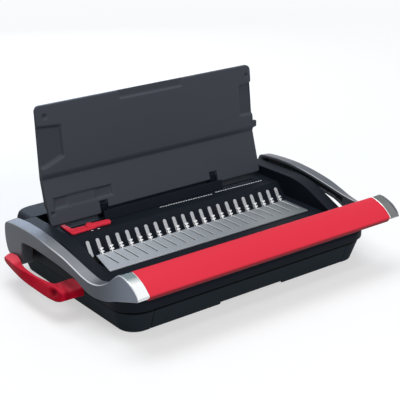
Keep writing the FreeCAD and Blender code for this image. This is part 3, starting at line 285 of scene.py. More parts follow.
@dataclass(frozen=True)
class Moulding(Finish):
    """Moulded plastic with spark grain and a slow drift of tone, with painted highlight and painted shade
    where its mesh marks them.
    """

    colour: Colour
    roughness: float
    grain: float
    grain_depth: float
    drift: float = 0.08
    level: float = 0.5
    # Colour of the painted highlight where the mesh marks it.
    worn: Colour | None = None
    # Share of the colour left where the painted shade is full.
    hollow: float = 0.4
    cloud: float = 9.0
    cloud_share: float = 0.75
    rough_low: float = 0.04
    rough_drift: float = 0.05

    def sockets(self, tree: Tree) -> dict[str, Any]:
        """Values and wires of the shader."""
        place = tree.place()
        slow = tree.noise(place, self.cloud, 3.0)
        fine = tree.noise(place, self.grain, 2.0, 0.6)
        mixed = slow * self.cloud_share + fine * (1 - self.cloud_share)
        colour = tree.varied(mixed, self.colour, self.drift)
        # Painted highlight where the mesh marks it.
        if self.worn:
            colour = tree.marked("edge_tone", colour, self.worn)
        # Painted shade where the mesh marks it.
        colour = tree.marked("hollow_tone", colour, shade(self.colour, self.hollow))
        rough = self.roughness - self.rough_low + (slow + fine) * self.rough_drift
        return {"Base Color": colour, "Roughness": rough,
                "Normal": tree.bump(fine, self.grain_depth),
                "Specular IOR Level": self.level}


@dataclass(frozen=True)
class SilverPaint(Finish):
    """Silver grey paint with fine flakes, with a painted paler reflection towards the front of the machine
    and a painted highlight where the mesh marks it.
    """

    colour: Colour
    # Colour of the painted highlight at the crease, the top and the inner edge.
    highlight_colour: Colour
    # Paler colour of the painted reflection towards the front.
    front_reflection_colour: Colour
    metallic: float = 0.1
    roughness: float = 0.36
    front: Point2 = (-0.10, -0.155)
    flake: float = 2600.0
    flake_share: float = 0.7
    flake_gloss: float = 0.06
    cloud: float = 14.0
    drift: float = 0.1
    front_drift: float = 0.08
    peel: float = 260.0
    peel_depth: float = 0.00002
    level: float = 0.2

    def sockets(self, tree: Tree) -> dict[str, Any]:
        """Values and wires of the shader."""
        place = tree.place()
        flakes = tree.node("ShaderNodeTexVoronoi", {"feature": "F1"},
                           {"Vector": place, "Scale": self.flake}, "Distance")
        mixed = flakes * self.flake_share + tree.noise(place, self.cloud) * (1 - self.flake_share)
        # Painted reflection: the paint turns paler towards the front.
        paint = tree.blend(tree.rise(tree.axis("Y"), *self.front),
                           tree.varied(mixed, self.colour, self.drift),
                           tree.varied(mixed, self.front_reflection_colour, self.front_drift))
        # Painted highlight where the mesh marks it.
        return {"Base Color": tree.marked("edge_tone", paint, self.highlight_colour),
                "Metallic": self.metallic,
                "Roughness": self.roughness + (flakes - 0.5) * self.flake_gloss,
                "Normal": tree.bump(tree.noise(place, self.peel, 1.0), self.peel_depth),
                "Specular IOR Level": self.level}


@dataclass(frozen=True)
class Steel(Finish):
    """Metal sheet with a grain of fine straight lines, with optional painted shade towards the right, painted
    highlight on marked edges and painted shadow below a height.
    """

    colour: Colour
    roughness: float
    lines: Point3
    spread: float = 0.12
    depth: float = 0.000006
    metallic: float = 1.0
    level: float = 0.5
    # Darker colour of the painted shade towards the right end.
    right_shade_colour: Colour | None = None
    reach: float = 0.16
    # Colour of the painted highlight on marked edges.
    highlight_colour: Colour = (0.92, 0.93, 0.95)
    # Heights over which the painted shadow at the bottom gives way to the plain colour.
    well_shadow: Point2 | None = None
    well_shade: float = 0.02
    drift: float = 0.1
    smear: float = 22.0
    tone_share: float = 0.6
    rough_share: float = 0.7

    def sockets(self, tree: Tree) -> dict[str, Any]:
        """Values and wires of the shader."""
        grain = tree.noise(tree.stretched(self.lines), 1.0, 3.0, 0.6)
        smear = tree.noise(tree.place(), self.smear)
        streak = grain * self.tone_share + smear * (1 - self.tone_share)
        colour = tree.varied(streak, self.colour, self.drift)
        # Painted shade towards the right and painted highlight on marked edges.
        if self.right_shade_colour:
            right = tree.varied(streak, self.right_shade_colour, self.drift)
            colour = tree.blend(tree.rise(tree.axis("X"), -self.reach, self.reach), colour, right)
            colour = tree.marked("edge_tone", colour, self.highlight_colour)
        # Painted shadow below the given heights.
        if self.well_shadow:
            lit = tree.rise(tree.axis("Z"), *self.well_shadow)
            colour = tree.blend(lit, shade(self.colour, self.well_shade), colour)
        matte = grain * self.rough_share + smear * (1 - self.rough_share)
        rough = self.roughness + (matte - 0.5) * self.spread
        return {"Base Color": colour, "Metallic": self.metallic, "Roughness": rough,
                "Normal": tree.bump(grain, self.depth), "Specular IOR Level": self.level}


@dataclass(frozen=True)
class Chrome(Finish):
    """Bright trim with painted reflections: darker on its flat top and along its lower lip, with a painted
    pale highlight on its inner rim.
    """

    top: Colour
    front: Colour
    roughness: float
    rim: float = 0.1845
    rim_highlight_colour: Colour = (0.9, 0.9, 0.9)
    bands: tuple[float, ...] = (-171.0, -170.2, -169.0, -156.0, -146.0, -134.0)
    rear_shade: float = 0.75
    wipes: Point3 = (9.0, 700.0, 700.0)
    wipe_gloss: float = 0.05
    wipe_depth: float = 0.000003

    def sockets(self, tree: Tree) -> dict[str, Any]:
        """Values and wires of the shader."""
        start, reach = self.bands[0], self.bands[-1] - self.bands[0]
        # Painted reflection bands along the trim, with painted shade at its rear.
        tones = (self.top, self.top, self.front, self.front, self.top, shade(self.top, self.rear_shade))
        stops = [((place - start) / reach, tone) for place, tone in zip(self.bands, tones)]
        depth = (tree.axis("Y") / MM - start) / reach
        tone = tree.node("ShaderNodeValToRGB", {"stops": stops}, {0: depth}, "Color")
        across = tree.node("ShaderNodeMath", {"operation": "ABSOLUTE"}, {0: tree.axis("X")})
        # Painted pale highlight on the inner rim.
        rim = tree.node("ShaderNodeMath", {"operation": "LESS_THAN"}, {0: across, 1: self.rim})
        wipe = tree.noise(tree.stretched(self.wipes), 1.0)
        return {"Base Color": tree.blend(rim, tone, self.rim_highlight_colour), "Metallic": 1.0,
                "Roughness": self.roughness + wipe * self.wipe_gloss,
                "Normal": tree.bump(wipe, self.wipe_depth)}


@dataclass(frozen=True)
class Rubber(Finish):
    """Dull rubber with a coarse skin."""

    colour: Colour
    skin: float = 900.0
    skin_depth: float = 0.00005
    tones: Point2 = (0.8, 1.3)
    roughness: float = 0.72
    spread: float = 0.2

    def sockets(self, tree: Tree) -> dict[str, Any]:
        """Values and wires of the shader."""
        skin = tree.noise(tree.place(), self.skin, 2.0, 0.7)
        low, high = (shade(self.colour, tone) for tone in self.tones)
        return {"Base Color": tree.blend(skin, low, high), "Roughness": self.roughness + skin * self.spread,
                "Normal": tree.bump(skin, self.skin_depth)}


@dataclass(frozen=True)
class Ink(Finish):
    """Pale printed marks."""

    colour: Colour
    fleck: float = 1500.0
    thin: float = 0.85
    roughness: float = 0.5
    spread: float = 0.1

    def sockets(self, tree: Tree) -> dict[str, Any]:
        """Values and wires of the shader."""
        fleck = tree.noise(tree.place(), self.fleck)
        return {"Base Color": tree.blend(fleck, shade(self.colour, self.thin), self.colour),
                "Roughness": self.roughness + fleck * self.spread}


BRIGHT = Steel("bright_steel", (0.42, 0.43, 0.45), 0.36, (500.0, 500.0, 24.0), metallic=0.3)
FINISHES = {
    finish.slot: finish for finish in (
        # In these mouldings, hollow sets how dark the painted shade turns and the extra colour is the painted
        # highlight.
        Moulding("black_plastic", (0.019, 0.026, 0.033), 0.6, 1400.0, 0.00004, level=0.02, hollow=0.03),
        Moulding("deck_plastic", (0.0075, 0.0102, 0.0155), 0.5, 1700.0, 0.00002, level=0.06),
        Moulding("slate_plastic", (0.041, 0.047, 0.061), 0.5, 1300.0, 0.00004, level=0.18,
                 worn=(0.11, 0.12, 0.145)),
        Moulding("red_plastic", (0.715, 0.034, 0.06), 0.44, 1500.0, 0.00002, drift=0.05, level=0.06,
                 hollow=0.3),
        Moulding("deep_red", (0.58, 0.006, 0.028), 0.48, 1500.0, 0.00002, drift=0.06, level=0.03,
                 worn=(1.0, 0.1, 0.14), hollow=0.3),
        BRIGHT,
        SilverPaint("silver_plastic", (0.098, 0.107, 0.126), (0.74, 0.75, 0.78), (0.235, 0.275, 0.345)),
        Chrome("collar_chrome", (0.23, 0.30, 0.315), (0.93, 0.955, 0.955), 0.13),
        # Darker copy of the chrome, painted in shade, for the right collar.
        Chrome("collar_chrome_shaded", (0.15, 0.17, 0.172), (0.2, 0.205, 0.21), 0.13),
        # Plate steel that falls off to painted shade towards its right end.
        Steel("satin_steel", (0.49, 0.525, 0.57), 0.44, (900.0, 14.0, 900.0), metallic=0.2,
              right_shade_colour=(0.155, 0.175, 0.183)),
        # Finger steel with painted shadow at the fingers' roots.
        replace(BRIGHT, slot="finger_steel", level=0.3, well_shadow=(0.0474, 0.0486)),
        Steel("hook_plating", (0.86, 0.87, 0.88), 0.26, (400.0, 400.0, 60.0), metallic=0.3),
        Steel("zinc_steel", (0.42, 0.43, 0.44), 0.38, (40.0, 600.0, 600.0)),
        Steel("black_steel", (0.024, 0.026, 0.031), 0.62, (60.0, 500.0, 500.0), metallic=0.0, level=0.1),
        Steel("bush_bronze", (0.45, 0.30, 0.13), 0.42, (300.0, 300.0, 300.0)),
        Rubber("foot_rubber", (0.015, 0.015, 0.016)),
        Ink("print_white", (0.8, 0.83, 0.86)),
    )
}


class Paints:
    """Materials made once for each slot."""

    def __init__(self) -> None:
        """Starts with no material made."""
        self.made: dict[str, bpy.types.Material] = {}

    def of(self, slot: str) -> bpy.types.Material:
        """The material of a slot, made on first use.

        Args:
            slot: Slot name of the record.

        Returns:
            The material.
        """
        if slot not in self.made:
            self.made[slot] = FINISHES[slot].material()
        return self.made[slot]


PAINTS = Paints()


# Mesh tools


def clamp(value: float) -> float:
    """A value held between 0 and 1."""
    return min(max(value, 0.0), 1.0)


def lying(a: float, b: float, level: float) -> Point3:
    """Place of a point of an outline that lies level."""
    return (a, b, level)


def box(low_x: float, high_x: float, low_y: float, high_y: float) -> list[Point2]:
    """Anticlockwise rectangle."""
    return [(low_x, low_y), (high_x, low_y), (high_x, high_y), (low_x, high_y)]


def mark(mesh: bpy.types.Mesh, name: str, tone: Callable[[float, float, float, Vector], float]) -> None:
    """Writes a tone at each vertex of a mesh for its finish to read.

    Args:
        mesh: Mesh that takes the tones.
        name: Attribute that the finish reads.
        tone: Function of a vertex's place in millimetres and its normal.
    """
    tones = mesh.attributes.new(name, "FLOAT", "POINT")
    for vertex in mesh.vertices:
        tones.data[vertex.index].value = tone(*(value / MM for value in vertex.co), vertex.normal)


def run_through(points: Sequence[Point2]) -> Line:
    """Smooth line through points that never overshoots them.

    Args:
        points: Pairs in rising order of the first number.

    Returns:
        A function from the first number to the second.
    """
    xs = [point[0] for point in points]
    ys = [point[1] for point in points]
    steps = [b - a for a, b in zip(xs, xs[1:])]
    rises = [(b - a) / step for a, b, step in zip(ys, ys[1:], steps)]
    slopes = [rises[0]]
    for before, after in zip(rises, rises[1:]):
        slopes.append(0.0 if before * after <= 0 else 2 * before * after / (before + after))
    slopes.append(rises[-1])

    def value(x: float) -> float:
        """Height of the line at x."""
        x = min(max(x, xs[0]), xs[-1])
        spot = max(index for index, start in enumerate(xs[:-1]) if start <= x)
        t = (x - xs[spot]) / steps[spot]
        rest = 1 - t
        return (ys[spot] * (1 + 2 * t) * rest * rest + ys[spot + 1] * t * t * (3 - 2 * t)
                + steps[spot] * (slopes[spot] * t * rest * rest - slopes[spot + 1] * t * t * rest))

    return value


def rounded(corners: Sequence[tuple[float, ...]], steps: int = 5) -> list[Point2]:
    """Closed outline whose corners are rounded.

    Args:
        corners: Points with an optional third number, the corner's radius.
        steps: Runs along each round corner.

    Returns:
        The outline's points in the same order.
    """
    outline: list[Point2] = []
    for index, corner in enumerate(corners):
        here = Vector(corner[:2])
        radius = corner[2] if len(corner) > 2 else 0.0
        back = (Vector(corners[index - 1][:2]) - here).normalized()
        ahead = (Vector(corners[(index + 1) % len(corners)][:2]) - here).normalized()
        half = back.angle(ahead) / 2
        if radius <= 0 or half > math.radians(89):
            outline.append((here.x, here.y))
            continue
        middle = here + (back + ahead).normalized() * (radius / math.sin(half))
        start = here + back * (radius / math.tan(half)) - middle
        stop = here + ahead * (radius / math.tan(half)) - middle
        turn = start.angle_signed(stop)
        for step in range(steps + 1):
            spoke = start.copy()
            spoke.rotate(Matrix.Rotation(-turn * step / steps, 2))
            outline.append((middle.x + spoke.x, middle.y + spoke.y))
    return outline


def drawn_in(outline: Sequence[Point2], amount: float) -> list[Point2]:
    """Outline moved inwards by an amount, for points that run anticlockwise.

    Args:
        outline: Closed outline.
        amount: How far each point moves along its inward normal.

    Returns:
        The smaller outline, point for point.
    """
    result: list[Point2] = []
    for index, point in enumerate(outline):
        here = Vector(point)
        back = (here - Vector(outline[index - 1])).normalized()
        ahead = (Vector(outline[(index + 1) % len(outline)]) - here).normalized()
        inward = Vector((-(back + ahead).y, (back + ahead).x))
        if inward.length < 1e-6:
            inward = Vector((-ahead.y, ahead.x))
        inward.normalize()
        fit = max(inward.dot(Vector((-ahead.y, ahead.x))), 0.5)
        moved = here + inward * (amount / fit)
        result.append((moved.x, moved.y))
    return result


class Shape:
    """Faces of a piece while it is built, in millimetres."""

    def __init__(self) -> None:
        """Starts empty."""
        self.points: list[Point3] = []
        self.faces: list[tuple[int, ...]] = []

    def ring(self, points: Sequence[Point3]) -> list[int]:
        """Adds points and gives back their numbers."""
        first = len(self.points)
        self.points.extend((point[0], point[1], point[2]) for point in points)
        return list(range(first, first + len(points)))

    def skin(self, first: Sequence[int], second: Sequence[int], closed: bool = True) -> None:
        """Joins two rings of equal length with quads."""
        count = len(first)
        for index in range(count if closed else count - 1):
            after = (index + 1) % count
            self.faces.append((first[index], first[after], second[after], second[index]))

    def cap(self, ring: Sequence[int]) -> None:
        """Closes a flat ring with one face."""
        self.faces.append(tuple(ring))

    def stack(self, rings: Sequence[Sequence[Point3]], capped: bool = True) -> None:
        """Skins a run of rings and closes its two ends."""
        numbers = [self.ring(ring) for ring in rings]
        for first, second in zip(numbers, numbers[1:]):
            self.skin(first, second)
        if capped:
            self.cap(list(reversed(numbers[0])))
            self.cap(numbers[-1])

    def slab(self, outline: Sequence[Point2], low: float, high: float, edge: float,
             put: Put, steps: int = 3) -> None:
        """Plate of an outline between two levels with round edges.

        Args:
            outline: Anticlockwise outline.
            low: Lower level.
            high: Upper level.
            edge: Radius of the round edges.
            put: Places outline coordinates and a level in space.
            steps: Runs across each round edge.
        """
        rings = []
        for level, way in ((low, -1), (high, 1)):
            bands = []
            for step in range(steps + 1):
                angle = math.pi / 2 * step / steps
                inset = edge * (1 - math.cos(angle))
                height = level - way * edge * (1 - math.sin(angle))
                bands.append([put(a, b, height) for a, b in drawn_in(outline, inset)])
            rings.extend(bands if way > 0 else reversed(bands))
        self.stack(rings)

    def piece(self, name: str, finish: str, crease: float = 35.0) -> bpy.types.Object:
        """Turns the faces into an object at the origin.

        Args:
            name: Name of the piece.
            finish: Slot whose material it wears.
            crease: Angle in degrees from which an edge stays sharp.

        Returns:
            The new object, linked to the scene.
        """
        mesh = bpy.data.meshes.new(name)
        mesh.from_pydata([(x * MM, y * MM, z * MM) for x, y, z in self.points], [], self.faces)
        work = bmesh.new()
        work.from_mesh(mesh)
        bmesh.ops.remove_doubles(work, verts=work.verts, dist=WELD)
        bmesh.ops.recalc_face_normals(work, faces=work.faces)
        work.to_mesh(mesh)
        work.free()
        made = finished(name, mesh, finish, crease)
        flatten(made)
        applied(made)
        return made


def finished(name: str, mesh: bpy.types.Mesh, finish: str, crease: float = 35.0) -> bpy.types.Object:
    """Object of a mesh with smooth shading and its material.

    Args:
        name: Name of the piece.
        mesh: Its mesh.
        finish: Slot whose material it wears.
        crease: Angle in degrees from which an edge stays sharp.

    Returns:
        The object, linked to the scene.
    """
    mesh.shade_smooth()
    mesh.set_sharp_from_angle(angle=math.radians(crease))
    mesh.materials.clear()
    mesh.materials.append(PAINTS.of(finish))
    made = bpy.data.objects.new(name, mesh)
    bpy.context.scene.collection.objects.link(made)
    return made


def flatten(made: bpy.types.Object) -> None:
    """Lets large faces shade flat beside their round edges."""
    weighted = made.modifiers.new("flat_faces", "WEIGHTED_NORMAL")
    weighted.mode = "FACE_AREA"
    weighted.weight = 100
    weighted.keep_sharp = True


def dress(piece: bpy.types.Object, body: Body, slot: str, *nodes: str) -> bpy.types.Object:
    """Rides a piece on its body, hides the nodes of the frame that it replaces and logs it.

    Args:
        piece: Finished piece.
        body: Body that it moves with.
        slot: Slot of the record; not used.
        nodes: Nodes of the frame that it replaces.

    Returns:
        The same piece.
    """
    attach(piece, body.value)
    if nodes:
        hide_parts(*nodes)
    LOG.info("%s rides on %s, %d faces", piece.name, body.value, len(piece.data.polygons))
    return piece


def applied(made: bpy.types.Object) -> None:
    """Turns an object's modifiers into its plain mesh."""
    graph = bpy.context.evaluated_depsgraph_get()
    mesh = bpy.data.meshes.new_from_object(made.evaluated_get(graph))
    made.modifiers.clear()
    made.data = mesh


def softened(node: str, slot: str, edge: float, cuts: Sequence[float] = (),
             angle: float = 28.0) -> bpy.types.Object:
    """Copy of a node of the frame whose edges are rounded.

    Args:
        node: Node of the frame.
        slot: Slot whose material it wears.
        edge: Width of the round edges in millimetres.
        cuts: Heights at which the faces are divided, in millimetres.
        angle: Angle in degrees from which an edge is rounded.

    Returns:
        The new object.
    """
    work = bmesh.new()
    work.from_mesh(frame["nodes"][node].data)
    bmesh.ops.remove_doubles(work, verts=work.verts, dist=NODE_WELD)
    level = math.radians(LEVEL_DEGREES)
    bmesh.ops.dissolve_limit(work, angle_limit=level, verts=work.verts, edges=work.edges)
    for height in cuts:
        parts = [*work.verts, *work.edges, *work.faces]
        bmesh.ops.bisect_plane(work, geom=parts, plane_co=(0.0, 0.0, height * MM), plane_no=(0.0, 0.0, 1.0))
    mesh = bpy.data.meshes.new(node + "_soft")
    work.to_mesh(mesh)
    work.free()
    made = finished(node + "_soft", mesh, slot, 180.0)
    bevel = made.modifiers.new("edges", "BEVEL")
    bevel.width = edge * MM
    bevel.segments = 3
    bevel.limit_method = "ANGLE"
    bevel.angle_limit = math.radians(angle)
    bevel.use_clamp_overlap = False
    bevel.miter_outer = "MITER_ARC"
    flatten(made)
    applied(made)
    return made


class RowTree:
    """Node tree that repeats a mesh along a straight step."""

    def __init__(self) -> None:
        """Builds the tree with its named inputs."""
        self.tree = bpy.data.node_groups.new("row_of_pieces", "GeometryNodeTree")
        face = self.tree.interface
        face.new_socket("Geometry", in_out="OUTPUT", socket_type="NodeSocketGeometry")
        face.new_socket("Geometry", in_out="INPUT", socket_type="NodeSocketGeometry")
        self.ids = {name: face.new_socket(name, in_out="INPUT", socket_type=kind).identifier
                    for name, kind in (("Count", "NodeSocketInt"), ("Step", "NodeSocketVector"),
                                       ("Material", "NodeSocketMaterial"))}
        enter = self.tree.nodes.new("NodeGroupInput")
        leave = self.tree.nodes.new("NodeGroupOutput")
        line = self.tree.nodes.new("GeometryNodeMeshLine")
        line.mode = "OFFSET"
        spread = self.tree.nodes.new("GeometryNodeInstanceOnPoints")
        solid = self.tree.nodes.new("GeometryNodeRealizeInstances")
        paint = self.tree.nodes.new("GeometryNodeSetMaterial")
        for start, stop in ((enter.outputs["Count"], line.inputs["Count"]),
                            (enter.outputs["Step"], line.inputs["Offset"]),
                            (line.outputs["Mesh"], spread.inputs["Points"]),
                            (enter.outputs["Geometry"], spread.inputs["Instance"]),
                            (spread.outputs["Instances"], solid.inputs["Geometry"]),
                            (solid.outputs["Geometry"], paint.inputs["Geometry"]),
                            (enter.outputs["Material"], paint.inputs["Material"]),
                            (paint.outputs["Geometry"], leave.inputs["Geometry"])):
            self.tree.links.new(start, stop)

    def repeat(self, piece: bpy.types.Object, count: int, step: Point3, slot: str) -> bpy.types.Object:
        """Repeats a piece's mesh along a step and keeps the result as its mesh.

        Args:
            piece: Object that holds the first copy.
            count: How many copies there are.
            step: Millimetres from one copy to the next.
            slot: Slot whose material the row wears.

        Returns:
            The same object.
        """
        row = piece.modifiers.new("row", "NODES")
        row.node_group = self.tree
        row[self.ids["Count"]] = count
        row[self.ids["Step"]] = [value * MM for value in step]
        row[self.ids["Material"]] = PAINTS.of(slot)
        applied(piece)
        return piece


# Sub-assemblies


@dataclass
class LeverArm:
    """Silver arm at one end of the lever: boss, long bowed beam, elbow and end plate."""

    side: Side
    nose_y: float = -170.3
    wall: float = 2.8
    hollow: Point2 = (-74.0, 95.0)
    edge: float = 1.3
    rim: float = 0.6
    # Painted highlights: a sheen on the top and a sheen on the inner edge, each along its run.
    sheen: float = 0.0
    sheen_run: tuple[float, ...] = (22.0, -12.0, -84.0, -97.0)
    inner_sheen: float = 0.0
    inner_run: tuple[float, ...] = (30.0, 0.0, -90.0, -105.0)
    crease_gain: float = 3.0
    crease_fade: Point2 = (30.0, 60.0)
    crease_least: float = 0.25
    elbow: Point2 = (-120.0, 25.0)
    top_room: float = 6.0
    top_slack: float = 0.3
    inner_slack: float = 0.5
    rib_places: tuple[float, ...] = (-60.0, -42.0, -24.0, -6.0, 12.0, 30.0, 48.0)
    rib_half: float = 0.7
    rib_span: Point2 = (197.0, 198.7)
    rib_edge: float = 0.25
    nose_steps: int = 12
    nose_step: float = 0.35
    runs: tuple[tuple[float, int], ...] = (
        (51.0, 92), (57.0, 5), (64.0, 24), (72.0, 8), (92.0, 10), (100.0, 12), (101.8, 9))
    edge_steps: int = 4
    edge_share: float = 0.6
    lip_share: float = 0.3
    inner_ring: float = 2.2
    least_height: float = 0.4
    hollow_room: float = 2.4
    belly: Line = field(init=False)
    crease: Line = field(init=False)
    inner_top: Line = field(init=False)
    outside: Line = field(init=False)
    inside: Line = field(init=False)

    def __post_init__(self) -> None:
        """Draws the lines that the arm's faces follow."""
        self.belly = run_through([
            (-170.3, 69.2), (-167.5, 67.3), (-163.0, 65.6), (-150.0, 61.0), (-130.0, 53.9), (-108.9, 47.4),
            (-95.3, 46.8), (-79.5, 49.3), (-63.3, 55.6), (-52.7, 58.7), (-25.5, 62.2), (7.6, 64.4),
            (31.0, 64.6), (44.0, 63.9), (51.0, 63.3), (55.0, 62.9), (57.2, 62.3), (58.8, 61.0), (59.5, 59.2),
            (60.0, 54.0), (60.8, 46.0), (61.6, 38.0), (62.1, 33.6), (63.0, 31.9), (65.0, 31.2), (70.0, 31.6),
            (76.0, 32.8), (82.0, 34.2), (88.0, 35.6), (92.5, 37.2), (95.8, 39.6), (97.6, 42.6), (99.4, 47.0),
            (100.9, 52.5), (101.6, 57.5), (101.8, 61.0)])
        self.crease = run_through([
            (-170.3, 69.8), (-168.8, 73.6), (-164.5, 78.2), (-158.0, 82.6), (-147.3, 86.4), (-141.0, 87.6),
            (-135.0, 87.3), (-130.0, 84.6), (-123.0, 79.2), (-115.0, 72.0), (-107.0, 67.2), (-99.0, 64.4),
            (-90.0, 63.4), (-75.7, 65.2), (-56.2, 70.3), (-32.7, 75.9), (-9.6, 79.0), (13.0, 81.2),
            (36.0, 82.4), (60.0, 81.8), (74.0, 80.8), (88.0, 79.5), (94.5, 78.4), (98.5, 76.4), (100.8, 73.0),
            (101.6, 69.0), (101.8, 66.0)])
        self.inner_top = run_through([
            (-170.3, 69.8), (-168.8, 73.7), (-164.5, 78.4), (-158.0, 82.9), (-147.3, 86.8), (-141.0, 88.1),
            (-136.0, 88.0), (-132.0, 86.2), (-123.0, 79.6), (-116.0, 72.9), (-104.0, 68.0), (-94.0, 66.4),
            (-80.0, 67.6), (-43.0, 73.8), (-9.5, 79.2), (16.5, 82.0), (43.5, 83.3), (58.0, 83.2),
            (72.0, 82.4), (85.0, 81.2), (94.0, 79.8), (98.5, 77.6), (100.8, 74.0), (101.6, 69.6),
            (101.8, 66.2)])
        self.outside = run_through([
            (-170.3, 199.7), (-132.0, 199.7), (-124.0, 200.4), (-116.0, 202.0), (-104.0, 205.1),
            (-92.0, 207.4), (-80.0, 208.9), (-40.0, 210.6), (6.0, 212.0), (102.0, 212.0)])
        self.inside = run_through([(-170.3, 198.5), (-124.0, 198.5), (-116.0, 197.2), (-108.0, 196.5),
                                   (102.0, 196.5)])

    def stations(self) -> list[float]:
        """Places along the arm, close together round the nose and the boss."""
        places = [self.nose_y + self.nose_step * step for step in range(self.nose_steps)]
        for stop, count in self.runs:
            reach = stop - places[-1]
            places += [places[-1] + reach * step / count for step in range(1, count + 1)]
        return places

    def loop(self, places: Sequence[float], share: float, inset: float) -> list[Point2]:
        """Closed outline of the arm seen from its end, for one depth.

        Args:
            places: Stations along the arm.
            share: 0 at the inner face, 1 at the outer one.
            inset: How far the outline is drawn in.

        Returns:
            Points along the lower edge to the back and along the top to the nose.
        """
        under = [(y, self.belly(y)) for y in places]
        tops = [(y, self.inner_top(y) * (1 - share) + self.crease(y) * share) for y in reversed(places)]
        over = [(y, max(self.belly(y) + self.least_height, top)) for y, top in tops]
        return drawn_in(under + over, inset)

    def build(self) -> None:
        """Makes the arm's shell and the ribs inside it."""
        places = self.stations()
        count = len(places)
        sign = self.side.value
        shape = Shape()
        turns = [math.pi / 2 * step / self.edge_steps for step in range(self.edge_steps + 1)]
        bands = [(0.0, self.rim, 0.0, 0.0), (0.0, 0.0, self.rim, 0.0),
                 (0.0, 0.0, self.inner_ring * self.rim, 0.0)]
        bands += [(1.0, self.edge * (1 - math.cos(turn)), 0.0, 1 - math.sin(turn)) for turn in turns]
        rings = []
        for share, inset, lift, back in bands:
            ring = []
            for index, (y, z) in enumerate(self.loop(places, share, inset)):
                station = places[index] if index < count else places[2 * count - 1 - index]
                inner, outer = self.inside(station), self.outside(station)
                edge = min(self.edge, (outer - inner) * self.edge_share)
                lip = min(lift, (outer - inner) * self.lip_share)
                ring.append((sign * (outer - edge * back if share else inner + lip), y, z))
            rings.append(shape.ring(ring))
        for first, second in zip(rings, rings[1:]):
            shape.skin(first, second)
        for index in range(count - 1):
            shape.faces.append((rings[-1][index], rings[-1][index + 1],
                                rings[-1][2 * count - 2 - index], rings[-1][2 * count - 1 - index]))
        self._inner_face(shape, places, rings[0])
        arm = shape.piece(f"{self.side.word}_lever_arm", "silver_plastic")
        # Painted highlight along the crease, the top and the inner edge.
        mark(arm.data, "edge_tone", self._lit_edge)
        dress(arm, Body.LEVER, "silver_plastic", f"{self.side.word}_arm")
        self._ribs()

    def _lit_edge(self, x: float, y: float, z: float, normal: Vector) -> float:
        """Share of painted highlight at the crease, along the top and at the inner edge."""
        room = min(self.edge - (self.outside(y) - abs(x)), self.edge - abs(self.crease(y) - z))
        start, reach = self.crease_fade
        elbow, half = self.elbow
        crease = clamp(self.crease_gain * room / self.edge) * clamp(abs(y - elbow) / half)
        crease *= max(clamp((start - y) / reach), self.crease_least)
        top = self.sheen * self._along(y, self.sheen_run)
        if z < max(self.crease(y) - self.top_slack * self.edge, self.belly(y) + self.top_room):
            top = 0.0
        inner = self.inner_sheen * self._along(y, self.inner_run)
        slack = self.inner_slack * self.rim
        if abs(abs(x) - self.inside(y) - self.rim) > slack or z < self.inner_top(y) - slack:
            inner = 0.0
        return max(crease, top, inner)

    @staticmethod
    def _along(y: float, run: Sequence[float]) -> float:
        """Share of a sheen at a place, rising and falling along its run from the back to the front."""
        start, full, last, stop = run
        return clamp((start - y) / (start - full)) * clamp((y - stop) / (last - stop))

    def _inner_face(self, shape: Shape, places: Sequence[float], rim: Sequence[int]) -> None:
        """Closes the inner side, with a hollow between its walls.

        Args:
            shape: Shape that takes the faces.
            places: Stations along the arm.
            rim: Ring of the inner edge, lower edge first.
        """
        sign, count = self.side.value, len(places)
        rows = []
        for index, y in enumerate(places):
            low, high = shape.points[rim[index]], shape.points[rim[2 * count - 1 - index]]
            room = self.hollow[0] <= y <= self.hollow[1] and high[2] - low[2] > self.hollow_room * self.wall
            depth = self.outside(y) - self.wall
            face = abs(low[0])
            under, over = low[2] + self.wall, high[2] - self.wall
            if not room:
                third = (high[2] - low[2]) / 3
                under, over = low[2] + third, high[2] - third
            rows.append((room, rim[index], rim[2 * count - 1 - index],
                         shape.ring([(sign * face, low[1], under), (sign * face, high[1], over),
                                     (sign * depth, low[1], under), (sign * depth, high[1], over)])))
        for (room, low, high, mid), (room_2, low_2, high_2, mid_2) in zip(rows, rows[1:]):
            shape.faces.append((low, low_2, mid_2[0], mid[0]))
            shape.faces.append((mid[1], mid_2[1], high_2, high))
            if room and room_2:
                shape.faces.append((mid[0], mid_2[0], mid_2[2], mid[2]))
                shape.faces.append((mid[2], mid_2[2], mid_2[3], mid[3]))
                shape.faces.append((mid[3], mid_2[3], mid_2[1], mid[1]))
            else:
                shape.faces.append((mid[0], mid_2[0], mid_2[1], mid[1]))
                wall = mid if room else mid_2
                if room != room_2:
                    shape.faces.append((wall[0], wall[2], wall[3], wall[1]))

    def _ribs(self) -> None:
        """Thin stiffening ribs across the hollow."""
        def put(a: float, b: float, level: float) -> Point3:
            """Place on the arm's side of the machine."""
            return (self.side.value * level, a, b)

        shape = Shape()
        for y in self.rib_places:
            outline = box(y - self.rib_half, y + self.rib_half,
                          self.belly(y) + self.wall, self.inner_top(y) - self.wall)
            shape.slab(outline, *self.rib_span, self.rib_edge, put, 1)
        ribs = shape.piece(f"{self.side.word}_arm_ribs", "black_plastic")
        dress(ribs, Body.LEVER, "black_plastic")


